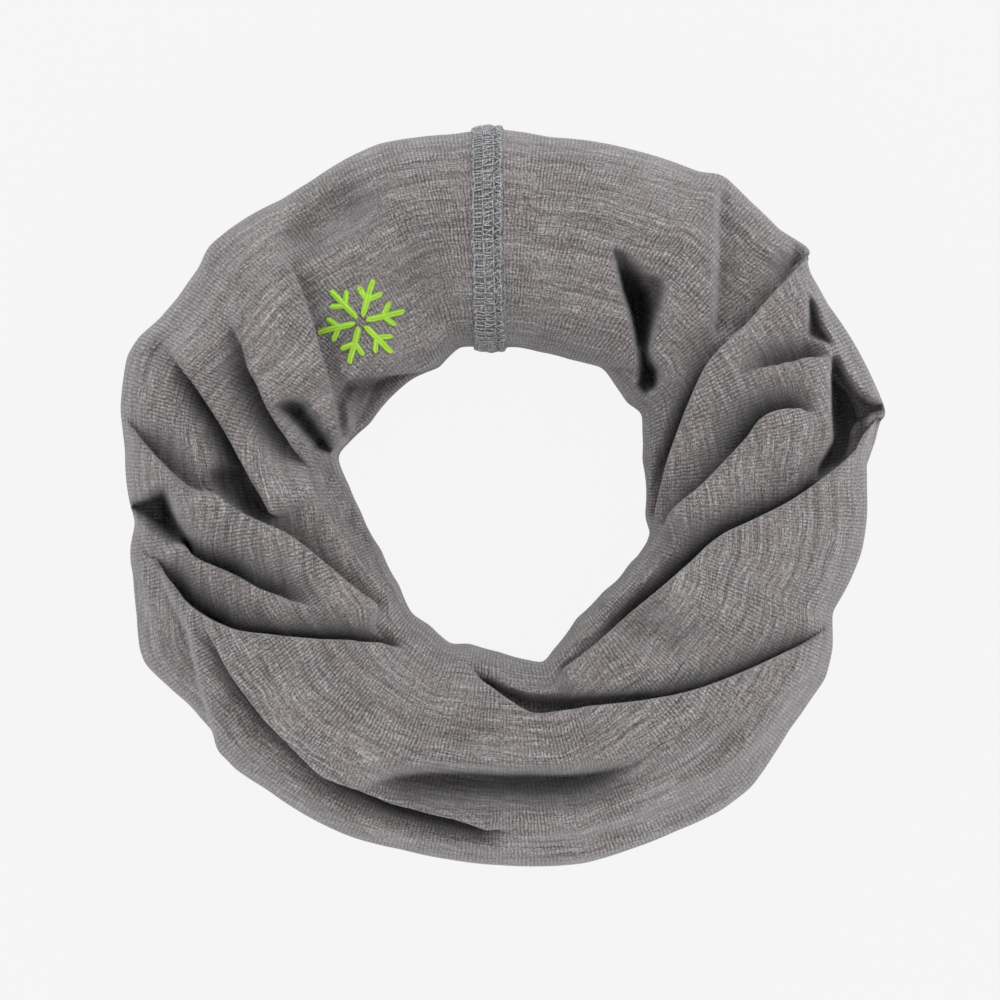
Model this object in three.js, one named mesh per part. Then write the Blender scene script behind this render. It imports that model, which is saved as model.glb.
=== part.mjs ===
// A neck gaiter: a tube of fine jersey, scrunched down into a soft ring that stands on its two hems.
// Millimetres, +Z up along the ring's axis, the sewn seam at +Y, the origin on the floor under the hole.

import * as THREE from "three";

// ---- Driving dimensions ---------------------------------------------------------------------------

// The ring's outer and inner folds seen from above: [degrees from +X, radius].
const OUTER_FOLD = [
  [0, 78.5], [13, 82], [40, 82], [60, 80], [82, 77.5], [104, 78.5], [126, 78.5], [144, 81], [164, 83.5],
  [182, 79], [202, 82], [222, 79.5], [250, 78.5], [280, 79.5], [310, 80.5], [332, 78], [346, 76],
];
const INNER_FOLD = [
  [0, 29.5], [32, 33], [55, 33], [82, 31], [108, 31], [126, 30], [148, 31.5], [168, 34],
  [186, 30], [208, 27.5], [230, 29.5], [252, 32], [280, 34], [302, 30], [322, 28.5], [342, 30],
];
// The top of the folds above the floor: lower at the seam, fuller at the front.
const CROWN_HEIGHT = [[0, 57], [45, 54], [90, 51], [135, 54], [180, 58], [225, 62], [270, 64], [315, 61]];

const BELLY_HEIGHT = 26; // where the folds bulge furthest, above the floor
const FOLD_SQUARENESS = 0.75; // 1 would make the section an ellipse, 0 a rectangle
const TUCK = 8; // how far each rim is drawn back under the folds

const HEM_HEIGHT = 12.4;
const HEM_THICKNESS = 1.5;
const HEM_ROW_HEIGHTS = { lower: 4.2, upper: 9.8 };
const HEM_THREAD = { width: 0.5, thickness: 0.4 };

const SEAM_X = -1.8; // the seam sits a little to the left of the back centre
const SEAM_WIDTH = 7.3;
const SEAM_THICKNESS = 0.7;
const SEAM_RUN = [0.1, 0.9]; // the stretch of the section that the seam covers, hem to hem
const NEEDLE_ROWS = { left: -2.9, centre: 0, right: 2.9 };
const NEEDLE_THREAD = { width: 0.55, thickness: 0.35 };
const COVER_THREAD = { width: 0.4, thickness: 0.3 };
const STITCH_LENGTH = 1.85;

const SNOWFLAKE = { x: -30, y: 36.5, arms: 6, turn: 14 };
const ARM = { start: 1.3, length: 7.8, width: 1.4, thickness: 0.6 };
const BARB = { at: 5, length: 1.8, width: 1.1, angle: 50 };

const LIFT = 0.3; // the gap between touching pieces
const THREAD_LIFT = 0.15; // the gap between a thread and what it lies on

const RING_STEPS = 72;
const SECTION_STEPS = 20;
const SEAM_STEPS = 44;

// ---- Materials ------------------------------------------------------------------------------------

const fabric = (color, roughness) => new THREE.MeshStandardMaterial({ color, roughness, metalness: 0 });
const GREY_JERSEY = 0x7d7876;
const SEAM_GREY = 0x85868a;
const HEM_GREY = 0x77726f;
const NEON_GREEN = 0xb4e364;

// ---- The shape of the ring ------------------------------------------------------------------------

const radians = THREE.MathUtils.degToRad;

// A smooth closed function of the angle in degrees, through a list of [angle, value] stations.
function around(stations) {
  const count = stations.length;
  return (degrees) => {
    const angle = ((degrees % 360) + 360) % 360;
    let last = count - 1;
    while (last > 0 && stations[last][0] > angle) last -= 1;
    const at = (step) => {
      const index = last + step;
      const [a, v] = stations[((index % count) + count) % count];
      return [a + 360 * Math.floor(index / count), v];
    };
    const [before, from, to, after] = [at(-1), at(0), at(1), at(2)];
    const slope = (p, q) => (q[1] - p[1]) / (q[0] - p[0]);
    const span = to[0] - from[0];
    const t = (angle - from[0]) / span;
    const [fromSlope, toSlope] = [slope(before, to) * span, slope(from, after) * span];
    return (
      from[1] * (1 + 2 * t) * (1 - t) ** 2 + fromSlope * t * (1 - t) ** 2 +
      to[1] * t * t * (3 - 2 * t) + toSlope * t * t * (t - 1)
    );
  };
}

const outerRadius = around(OUTER_FOLD);
const innerRadius = around(INNER_FOLD);
const crownHeight = around(CROWN_HEIGHT);

// A power that keeps the sign, for superellipses.
const signedPower = (value, power) => Math.sign(value) * Math.abs(value) ** power;

// The section of the folds at an angle: along 0 is the inner tuck, 0.5 the crown, 1 the outer tuck.
function sectionPoint(degrees, along) {
  const inner = innerRadius(degrees);
  const outer = outerRadius(degrees);
  const halfWidth = (outer - inner) / 2;
  const tuckCosine = (1 - TUCK / halfWidth) ** (1 / FOLD_SQUARENESS);
  const tuckAngle = Math.acos(tuckCosine);
  const turn = Math.PI + tuckAngle - along * (Math.PI + 2 * tuckAngle);
  const above = crownHeight(degrees) - BELLY_HEIGHT;
  const below = (BELLY_HEIGHT - HEM_HEIGHT) / Math.sin(tuckAngle) ** FOLD_SQUARENESS;
  const rise = signedPower(Math.sin(turn), FOLD_SQUARENESS);
  return new THREE.Vector2(
    (inner + outer) / 2 + halfWidth * signedPower(Math.cos(turn), FOLD_SQUARENESS),
    BELLY_HEIGHT + rise * (rise > 0 ? above : below),
  );
}

// A point of the ring, from its angle and its radius and height in the section.
const ringPoint = (degrees, radius, height) =>
  new THREE.Vector3(radius * Math.cos(radians(degrees)), radius * Math.sin(radians(degrees)), height);

// A point that lies `lift` outside the folds, at a place across and along the seam.
function seamPoint(across, along, lift) {
  const step = 0.004;
  const radius = sectionPoint(90, along).x;
  const degrees = 90 - THREE.MathUtils.radToDeg(Math.asin((SEAM_X + across) / radius));
  const ahead = sectionPoint(degrees, Math.min(1, along + step));
  const behind = sectionPoint(degrees, Math.max(0, along - step));
  const tangent = ahead.sub(behind).normalize();
  const place = sectionPoint(degrees, along);
  return ringPoint(degrees, place.x - tangent.y * lift, place.y + tangent.x * lift);
}

// ---- Solids ---------------------------------------------------------------------------------------

// A closed solid through a row of rings of points. A closed row joins its end to its start.
function sweptSolid(rings, closed) {
  const sides = rings[0].length;
  const positions = rings.flat().flatMap((point) => point.toArray());
  const faces = [];
  const spans = closed ? rings.length : rings.length - 1;
  for (let i = 0; i < spans; i += 1) {
    const here = i * sides;
    const next = ((i + 1) % rings.length) * sides;
    for (let j = 0; j < sides; j += 1) {
      const k = (j + 1) % sides;
      faces.push(here + j, next + k, next + j, here + j, here + k, next + k);
    }
  }
  if (!closed) {
    const end = (rings.length - 1) * sides;
    for (let j = 1; j < sides - 1; j += 1) faces.push(0, j + 1, j, end, end + j, end + j + 1);
  }
  const geometry = new THREE.BufferGeometry();
  geometry.setAttribute("position", new THREE.Float32BufferAttribute(positions, 3));
  geometry.setIndex(faces);
  geometry.computeVertexNormals();
  return geometry;
}

// A ring that follows the folds all the way round: outline(degrees) gives its section as [radius, height].
function ringSolid(outline) {
  const rings = [];
  for (let i = 0; i < RING_STEPS; i += 1) {
    const degrees = (360 * i) / RING_STEPS;
    rings.push(outline(degrees).map(([radius, height]) => ringPoint(degrees, radius, height)));
  }
  return sweptSolid(rings, true);
}

// A flat thread or tape along the seam, through [across, along] places, between two heights off the folds.
function seamBand(places, width, low, high) {
  const points = places.map(([across, along]) => seamPoint(across, along, low));
  const rings = places.map(([across, along], i) => {
    const base = points[i];
    const before = points[Math.max(0, i - 1)];
    const after = points[Math.min(points.length - 1, i + 1)];
    const out = seamPoint(across, along, high).sub(base);
    const side = new THREE.Vector3().crossVectors(out, after.clone().sub(before)).setLength(width / 2);
    return [
      base.clone().sub(side), base.clone().add(side),
      base.clone().add(side).add(out), base.clone().sub(side).add(out),
    ];
  });
  return sweptSolid(rings, false);
}

// ---- The folded tube and its hems -----------------------------------------------------------------

function knitTube() {
  return ringSolid((degrees) => {
    const outline = [];
    for (let i = 0; i <= SECTION_STEPS; i += 1) {
      outline.push(sectionPoint(degrees, i / SECTION_STEPS).toArray());
    }
    outline.push([outerRadius(degrees) - TUCK, 0], [innerRadius(degrees) + TUCK, 0]);
    return outline;
  });
}

// The hem's face, which looks out at the outer rim and into the hole at the inner one.
const HEM_SIDES = {
  outer: { direction: 1, foot: (degrees) => outerRadius(degrees) - TUCK },
  inner: { direction: -1, foot: (degrees) => innerRadius(degrees) + TUCK },
};

// A band around a rim: how far its near face stands off the folded tube, its thickness and its heights.
function rimBand(side, standOff, thickness, low, high) {
  const { direction, foot } = HEM_SIDES[side];
  return ringSolid((degrees) => {
    const near = foot(degrees) + direction * standOff;
    const far = near + direction * thickness;
    const outline = [[near, low], [near, high], [far, high], [far, low]];
    return direction > 0 ? outline : outline.reverse();
  });
}

const hem = (side) => rimBand(side, LIFT, HEM_THICKNESS, LIFT, HEM_HEIGHT - 2 * LIFT);

function hemStitchRow(side, height) {
  const { width, thickness } = HEM_THREAD;
  return rimBand(
    side, LIFT + HEM_THICKNESS + THREAD_LIFT, thickness, height - width / 2, height + width / 2,
  );
}

// ---- The seam -------------------------------------------------------------------------------------

const SEAM_LAYERS = {
  overlap: LIFT,
  cover: LIFT + SEAM_THICKNESS + THREAD_LIFT,
  needles: LIFT + SEAM_THICKNESS + COVER_THREAD.thickness + 2 * THREAD_LIFT,
};

// Places evenly spaced by length along the seam, as shares of the section from hem to hem.
function evenSeamPlaces(count) {
  const [first, last] = SEAM_RUN;
  const samples = 400;
  const lengths = [0];
  const share = (i) => first + ((last - first) * i) / samples;
  for (let i = 1; i <= samples; i += 1) {
    lengths.push(lengths[i - 1] + seamPoint(0, share(i), 0).distanceTo(seamPoint(0, share(i - 1), 0)));
  }
  const places = [];
  let i = 1;
  for (let n = 0; n <= count; n += 1) {
    const wanted = (lengths[samples] * n) / count;
    while (i < samples && lengths[i] < wanted) i += 1;
    places.push(share(i - 1 + (wanted - lengths[i - 1]) / (lengths[i] - lengths[i - 1])));
  }
  return { places, length: lengths[samples] };
}

function seamOverlap() {
  const { places } = evenSeamPlaces(SEAM_STEPS);
  const low = SEAM_LAYERS.overlap;
  return seamBand(places.map((along) => [0, along]), SEAM_WIDTH, low, low + SEAM_THICKNESS);
}

function seamNeedleThread(across) {
  const { places } = evenSeamPlaces(SEAM_STEPS);
  const low = SEAM_LAYERS.needles;
  const { width, thickness } = NEEDLE_THREAD;
  return seamBand(places.map((along) => [across, along]), width, low, low + thickness);
}

// The cover thread crosses the seam and comes back once in each stitch.
function seamCoverThread() {
  const stitches = Math.round(evenSeamPlaces(1).length / STITCH_LENGTH);
  const { places } = evenSeamPlaces(2 * stitches);
  const zigzag = places.map((along, i) => [i % 2 ? NEEDLE_ROWS.right : NEEDLE_ROWS.left, along]);
  const low = SEAM_LAYERS.cover;
  return seamBand(zigzag, COVER_THREAD.width, low, low + COVER_THREAD.thickness);
}

// ---- The embroidered snowflake --------------------------------------------------------------------

// The height of the folds above a point of the floor, on the crown.
function crownSurface(x, y) {
  const degrees = THREE.MathUtils.radToDeg(Math.atan2(y, x));
  const radius = Math.hypot(x, y);
  let [low, high] = [0.25, 0.75];
  for (let i = 0; i < 30; i += 1) {
    const middle = (low + high) / 2;
    if (sectionPoint(degrees, middle).x < radius) low = middle;
    else high = middle;
  }
  return sectionPoint(degrees, low).y;
}

// One arm's outline, along +X from the snowflake's centre: a stem with a pair of barbs.
function armOutline() {
  const { start, length, width } = ARM;
  const half = width / 2;
  const lean = radians(BARB.angle);
  const along = new THREE.Vector2(Math.cos(lean), Math.sin(lean));
  const across = new THREE.Vector2(-along.y, along.x);
  const root = new THREE.Vector2(BARB.at, half);
  const tip = root.clone().addScaledVector(along, BARB.length);
  const top = tip.clone().addScaledVector(across, BARB.width);
  const heel = new THREE.Vector2(top.x - (along.x / along.y) * (top.y - half), half);
  const upper = [new THREE.Vector2(length, half), root, tip, top, heel, new THREE.Vector2(start + half, half)];
  const lower = upper.map(({ x, y }) => new THREE.Vector2(x, -y)).reverse();
  return [...upper, new THREE.Vector2(start, 0), ...lower];
}

function snowflakeArm(index) {
  const { x, y, arms, turn } = SNOWFLAKE;
  const longestEdge = 0.9;
  const outline = armOutline();
  const fine = [];
  outline.forEach((point, i) => {
    const next = outline[(i + 1) % outline.length];
    const steps = Math.ceil(point.distanceTo(next) / longestEdge);
    for (let j = 0; j < steps; j += 1) fine.push(point.clone().lerp(next, j / steps));
  });
  const geometry = new THREE.ExtrudeGeometry(new THREE.Shape(fine), {
    depth: ARM.thickness,
    bevelEnabled: false,
  });
  geometry.rotateZ(radians(turn + (360 * index) / arms));
  geometry.translate(x, y, 0);
  const position = geometry.getAttribute("position");
  for (let i = 0; i < position.count; i += 1) {
    position.setZ(i, position.getZ(i) + LIFT + crownSurface(position.getX(i), position.getY(i)));
  }
  geometry.computeVertexNormals();
  return geometry;
}

// ---- The assembly ---------------------------------------------------------------------------------

const group = new THREE.Group();

function add(name, geometry, color, roughness) {
  const mesh = new THREE.Mesh(geometry, fabric(color, roughness));
  mesh.name = name;
  group.add(mesh);
}

add("knit_tube", knitTube(), GREY_JERSEY, 0.95);
for (const side of Object.keys(HEM_SIDES)) {
  add(`${side}_hem`, hem(side), HEM_GREY, 0.95);
  for (const [row, height] of Object.entries(HEM_ROW_HEIGHTS)) {
    add(`${side}_hem_stitch_${row}`, hemStitchRow(side, height), SEAM_GREY, 0.8);
  }
}
add("seam_overlap", seamOverlap(), GREY_JERSEY, 0.95);
add("seam_cover_thread", seamCoverThread(), SEAM_GREY, 0.8);
for (const [row, across] of Object.entries(NEEDLE_ROWS)) {
  add(`seam_needle_thread_${row}`, seamNeedleThread(across), SEAM_GREY, 0.8);
}
for (let i = 0; i < SNOWFLAKE.arms; i += 1) {
  add(`snowflake_arm_${i + 1}`, snowflakeArm(i), NEON_GREEN, 0.55);
}

export default group;
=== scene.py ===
"""Looks of a neck gaiter: a tube of heather-grey jersey pushed down into a soft folded ring."""

import logging
import math
from dataclasses import dataclass, field
from enum import Enum
from typing import ClassVar

import bpy
import numpy as np
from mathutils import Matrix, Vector
from mathutils.bvhtree import BVHTree

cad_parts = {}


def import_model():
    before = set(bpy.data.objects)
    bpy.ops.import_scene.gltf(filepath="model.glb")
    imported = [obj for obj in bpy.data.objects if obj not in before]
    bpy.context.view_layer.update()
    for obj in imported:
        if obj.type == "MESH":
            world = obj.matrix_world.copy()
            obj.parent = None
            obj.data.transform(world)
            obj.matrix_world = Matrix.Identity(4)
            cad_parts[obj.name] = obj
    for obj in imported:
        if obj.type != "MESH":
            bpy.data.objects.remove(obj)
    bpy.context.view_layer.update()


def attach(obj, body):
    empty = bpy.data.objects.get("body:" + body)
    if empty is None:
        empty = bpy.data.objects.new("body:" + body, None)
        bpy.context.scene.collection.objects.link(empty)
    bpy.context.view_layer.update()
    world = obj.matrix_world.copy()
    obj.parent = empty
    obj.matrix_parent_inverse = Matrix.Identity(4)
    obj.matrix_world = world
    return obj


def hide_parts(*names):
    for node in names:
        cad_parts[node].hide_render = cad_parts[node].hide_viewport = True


LOG = logging.getLogger("gaiter")
MM = 0.001
BODY = "root"
KNIT_UV = "Knit"

Point2 = tuple[float, float]
Path2 = tuple[Point2, ...]
Colour = tuple[float, float, float, float]
Corners = tuple[tuple[int, int], ...]
Waves = tuple[tuple[float, float, float], ...]

# The row and column steps to a face's corners, in the order round it.
ROW_FIRST: Corners = ((0, 0), (1, 0), (1, 1), (0, 1))
COLUMN_FIRST: Corners = ((0, 0), (0, 1), (1, 1), (1, 0))


# ---- Small geometry helpers ------------------------------------------------------------------------


def smooth_step(low: float, high: float, value: np.ndarray) -> np.ndarray:
    """A ramp from 0 at low to 1 at high with soft ends."""
    t = np.clip((value - low) / (high - low), 0.0, 1.0)
    return t * t * (3.0 - 2.0 * t)


def waves(angle: np.ndarray, terms: Waves, level: float = 0.0) -> np.ndarray:
    """A level with sines of the angle added, each given by its size, its count round and its phase."""
    return sum((size * np.sin(count * angle + phase) for size, count, phase in terms), level)


def smooth_path(points: Path2, spacing: float = 1.0) -> np.ndarray:
    """Runs a Catmull-Rom curve through a few points.

    Args:
        points: The points that the curve passes through, in millimetres.
        spacing: The distance between the returned points, in millimetres.

    Returns:
        The curve as an array of points.
    """
    p = np.array(points, float)
    p = np.vstack([2 * p[0] - p[1], p, 2 * p[-1] - p[-2]])
    curve = []
    for a, b, c, d in zip(p[:-3], p[1:-2], p[2:-1], p[3:]):
        steps = max(2, int(np.linalg.norm(c - b) / spacing))
        t = np.arange(steps)[:, None] / steps
        square, cube = 2 * a - 5 * b + 4 * c - d, 3 * b - a - 3 * c + d
        curve.append(0.5 * (2 * b + (c - a) * t + square * t**2 + cube * t**3))
    return np.vstack([*curve, p[-2:-1]])


def outline_radius(points: Path2, angles: np.ndarray, softness: float) -> np.ndarray:
    """Turns a closed outline round the ring's axis into a radius for each angle.

    Args:
        points: The outline's corners, in millimetres, in order round the axis.
        angles: Evenly spaced angles over a whole turn, in radians.
        softness: How far its corners are rounded, in degrees.

    Returns:
        The radius at each angle, in millimetres.
    """
    p = np.array(points, float)
    turn = np.arctan2(p[:, 1], p[:, 0]) % (2 * math.pi)
    order = np.argsort(turn)
    reach = np.hypot(p[:, 0], p[:, 1])
    radius = np.interp(angles % (2 * math.pi), turn[order], reach[order], period=2 * math.pi)
    step = 360.0 / len(angles)
    most = int(3 * softness / step)
    offsets = np.arange(-most, most + 1)
    weights = np.exp(-0.5 * (offsets * step / softness) ** 2)
    return sum(w * np.roll(radius, k) for k, w in zip(offsets, weights)) / weights.sum()


def stations(values: Path2, angles: np.ndarray) -> np.ndarray:
    """Blends smoothly from station to station round the ring.

    Args:
        values: The stations, each as its angle in degrees and its value.
        angles: The angles, in radians.

    Returns:
        The value at each angle.
    """
    degrees = np.degrees(angles) % 360.0
    at = np.array([v[0] for v in values] + [values[0][0] + 360.0])
    level = np.array([v[1] for v in values] + [values[0][1]])
    degrees = np.where(degrees < at[0], degrees + 360.0, degrees)
    i = np.clip(np.searchsorted(at, degrees, side="right") - 1, 0, len(values) - 1)
    t = (degrees - at[i]) / (at[i + 1] - at[i])
    return level[i] + (level[i + 1] - level[i]) * (0.5 - 0.5 * np.cos(math.pi * t))


def mesh_piece(
    name: str, points: np.ndarray, faces: list | np.ndarray, smooth: bool = True
) -> bpy.types.Object:
    """Makes a mesh object from points in millimetres.

    Args:
        name: The piece's name.
        points: Its points, in millimetres, in the frame of the ring.
        faces: Its faces, as lists of point numbers.
        smooth: Whether its faces shade smoothly.

    Returns:
        The object, linked to the scene.
    """
    mesh = bpy.data.meshes.new(name)
    corners = faces if isinstance(faces, list) else faces.tolist()
    mesh.from_pydata((np.asarray(points) * MM).tolist(), [], corners)
    mesh.polygons.foreach_set("use_smooth", np.full(len(mesh.polygons), smooth))
    mesh.update()
    piece = bpy.data.objects.new(name, mesh)
    bpy.context.scene.collection.objects.link(piece)
    return piece


def quad_grid(
    rows: int, columns: int, corners: Corners, closed: bool = False
) -> tuple[np.ndarray, list[tuple[np.ndarray, np.ndarray]]]:
    """Joins a grid of points, whose last column meets the first, into four-sided faces.

    Args:
        rows: The number of rows of points.
        columns: The number of columns of points.
        corners: The steps to a face's corners.
        closed: Whether the last row meets the first one too.

    Returns:
        The faces; and for each of their corners the rows and the columns, counted on past the last.
    """
    r, c = np.meshgrid(np.arange(rows if closed else rows - 1), np.arange(columns), indexing="ij")
    places = [(r + i, c + j) for i, j in corners]
    faces = np.stack([(row % rows) * columns + column % columns for row, column in places], axis=-1)
    return faces.reshape(-1, 4), places


def set_uv(piece: bpy.types.Object, corners: list[np.ndarray], caps: int = 0) -> None:
    """Gives a piece one UV map.

    Args:
        piece: The piece.
        corners: For each corner of the four-sided faces, where it is on the cloth or thread, in metres.
        caps: The number of corners of the flat ends, which come last and all lie at zero.
    """
    uv = np.vstack([np.stack(corners, axis=-2).reshape(-1, 2), np.zeros((caps, 2))])
    layer = piece.data.uv_layers.new(name=KNIT_UV)
    layer.data.foreach_set("uv", np.asarray(uv, np.float32).ravel())


def dress(piece: bpy.types.Object, material: bpy.types.Material, slot: str, *nodes: str) -> bpy.types.Object:
    """Gives a piece its finish and its body, and hides the CAD nodes that it stands for.

    Args:
        piece: The piece.
        material: Its finish.
        slot: Not used.
        nodes: The CAD nodes that it stands for.

    Returns:
        The piece.
    """
    piece.data.materials.clear()
    piece.data.materials.append(material)
    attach(piece, BODY)
    if nodes:
        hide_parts(*nodes)
    LOG.info("%s: %d faces", piece.name, len(piece.data.polygons))
    return piece


# ---- The folds -------------------------------------------------------------------------------------


class Side(Enum):
    """Which side of a fold line lies on top, seen along the line."""

    LEFT = 1.0
    RIGHT = -1.0


@dataclass(frozen=True)
class FoldEdge:
    """A line where one fold of cloth lies over the next.

    Attributes:
        path: The visible edge from above, in millimetres.
        upper: The side that lies on top.
        lip: How far the upper fold stands proud at its edge.
        lip_width: How far back from the edge it dies away.
        dip: How far the lower cloth sinks as it goes under.
        dip_width: How far out from the edge it does.
        edge: The radius of the upper fold's edge.
        lean: How far the upper fold hangs over.
        fade: The length of the soft start and end.
        slit: How much further the cloth sinks right under the edge.
        pockets: Deeper places under the edge, each as its place along the line, half its length, its
            depth and its width.
    """

    path: Path2
    upper: Side
    lip: float = 3.0
    lip_width: float = 7.0
    dip: float = 6.0
    dip_width: float = 4.0
    edge: float = 1.3
    lean: float = 2.2
    fade: tuple[float, float] = (8.0, 8.0)
    slit: float = 0.0
    pockets: tuple[tuple[float, float, float, float], ...] = ()

    # The line on the cloth lies back under the visible edge by a part of the lean, less a part of the edge's
    # radius, and a margin.
    LEAN_PART: ClassVar[float] = 0.8
    EDGE_PART: ClassVar[float] = 0.4
    MARGIN: ClassVar[float] = 0.2
    # A dip is the sum of a near one, right under the edge, and a far one that reaches out further.
    NEAR_PART: ClassVar[float] = 0.68
    FAR_PART: ClassVar[float] = 0.32
    FAR_SLOPE: ClassVar[float] = 0.3
    LONG_FADE: ClassVar[float] = 15.0
    SLIT_WIDTH: ClassVar[float] = 0.9

    def lift(self, at: np.ndarray) -> tuple[np.ndarray, np.ndarray]:
        """Works out how this fold moves the cloth.

        Args:
            at: Places on the ring seen from above, in millimetres, one a row.

        Returns:
            The height change and the sideways shift at each place.
        """
        distance, normal, along, length = nearest_on_path(smooth_path(self.path), at)
        side = distance * self.upper.value - self.LEAN_PART * self.lean
        side = side + self.EDGE_PART * self.edge - self.MARGIN
        fade_in, fade_out = self.fade
        strength = smooth_step(0.0, fade_in, along) * smooth_step(0.0, fade_out, length - along)
        soft_in, soft_out = max(fade_in, self.LONG_FADE), max(fade_out, self.LONG_FADE)
        broad = strength * smooth_step(0.0, soft_in, along) * smooth_step(0.0, soft_out, length - along)
        beyond = np.maximum(side - self.edge, 0.0)
        rise = np.sqrt(1.0 - (1.0 - np.clip(side / self.edge, 0.0, 1.0)) ** 2)
        lip = self.lip * np.exp(-0.5 * (beyond / self.lip_width) ** 2)
        away = np.abs(side) / self.dip_width
        near = self.NEAR_PART * self.dip * np.exp(-away) + self.slit * np.exp(-np.abs(side) / self.SLIT_WIDTH)
        root = np.full_like(side, self.NEAR_PART * self.dip + self.slit)
        far = self.FAR_PART * self.dip
        for middle, half, depth, width in self.pockets:
            deep = depth * np.exp(-(((along - middle) / half) ** 4))
            near += deep * np.exp(-((side / width) ** 2))
            root += deep
        lower = -near * strength - far * np.exp(-self.FAR_SLOPE * away) * broad
        root = -root * strength - far * broad
        height = np.where(side > 0.0, root * (1.0 - rise) + lip * rise * strength, lower)
        over = smooth_step(-0.3 * self.edge, 0.8 * self.edge, side)
        over *= np.exp(-beyond / (2.0 * self.lean + 0.01))
        shift = -normal * (self.upper.value * self.lean * over * strength)[:, None]
        return height, shift


@dataclass(frozen=True)
class Hollow:
    """A deep pocket between folds.

    Attributes:
        outline: Its outline from above, in millimetres.
        depth: How deep it is.
        wall: How wide its slanting walls are.
    """

    outline: Path2
    depth: float = 12.0
    wall: float = 1.6

    def lift(self, at: np.ndarray) -> np.ndarray:
        """Works out how far the cloth sinks.

        Args:
            at: Places on the ring seen from above, in millimetres, one a row.

        Returns:
            The height change at each place.
        """
        outline = np.array(self.outline, float)
        outline = np.vstack([outline, outline[:1]])
        distance, _, _, _ = nearest_on_path(outline, at)
        inside = inside_outline(outline, at)
        signed = np.where(inside, np.abs(distance), -np.abs(distance))
        return -self.depth * smooth_step(-0.6 * self.wall, 0.6 * self.wall, signed)


@dataclass(frozen=True)
class Swell:
    """A soft ridge, or a soft valley where its height is below zero, along a line.

    Attributes:
        path: The line from above, in millimetres.
        height: How high it stands.
        width: How far from the line it has lost two fifths of its height.
        fade: The length of its soft start and end.
    """

    path: Path2
    height: float
    width: float
    fade: float = 12.0

    def lift(self, at: np.ndarray) -> np.ndarray:
        """Works out how far the cloth rises.

        Args:
            at: Places on the ring seen from above, in millimetres, one a row.

        Returns:
            The height change at each place.
        """
        distance, _, along, length = nearest_on_path(smooth_path(self.path, 2.0), at)
        strength = smooth_step(0.0, self.fade, along) * smooth_step(0.0, self.fade, length - along)
        return self.height * np.exp(-0.5 * (distance / self.width) ** 2) * strength


def nearest_on_path(curve: np.ndarray, at: np.ndarray) -> tuple[np.ndarray, np.ndarray, np.ndarray, float]:
    """Finds the nearest place on a line for each of many places.

    Args:
        curve: The line's points.
        at: The places.

    Returns:
        The distance, above zero to the left of the line; the unit direction to the left;
        the length along the line up to there; and the line's whole length.
    """
    starts, ends = curve[:-1], curve[1:]
    spans = ends - starts
    lengths = np.linalg.norm(spans, axis=1)
    before = np.concatenate([[0.0], np.cumsum(lengths)[:-1]])
    best = np.full(len(at), 1e9)
    distance, along = np.zeros(len(at)), np.zeros(len(at))
    normal = np.zeros((len(at), 2))
    for start, span, length, gone in zip(starts, spans, lengths, before):
        unit = span / length
        left = np.array([-unit[1], unit[0]])
        offset = at - start
        t = np.clip(offset @ unit, 0.0, length)
        gap = offset - t[:, None] * unit
        squared = (gap**2).sum(axis=1)
        closer = squared < best
        best[closer] = squared[closer]
        sign = np.where(gap[closer] @ left >= 0.0, 1.0, -1.0)
        distance[closer] = np.sqrt(squared[closer]) * sign
        along[closer] = gone + t[closer]
        normal[closer] = left
    return distance, normal, along, float(lengths.sum())


def inside_outline(outline: np.ndarray, at: np.ndarray) -> np.ndarray:
    """Finds the places inside a closed outline.

    Args:
        outline: The outline's points, the last of which is the first again.
        at: The places.

    Returns:
        Whether each place lies inside.
    """
    inside = np.zeros(len(at), bool)
    for (ax, ay), (bx, by) in zip(outline[:-1], outline[1:]):
        crosses = (ay > at[:, 1]) != (by > at[:, 1])
        reach = ax + (at[:, 1] - ay) / ((by - ay) or 1e-9) * (bx - ax)
        inside ^= crosses & (at[:, 0] < reach)
    return inside


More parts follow.
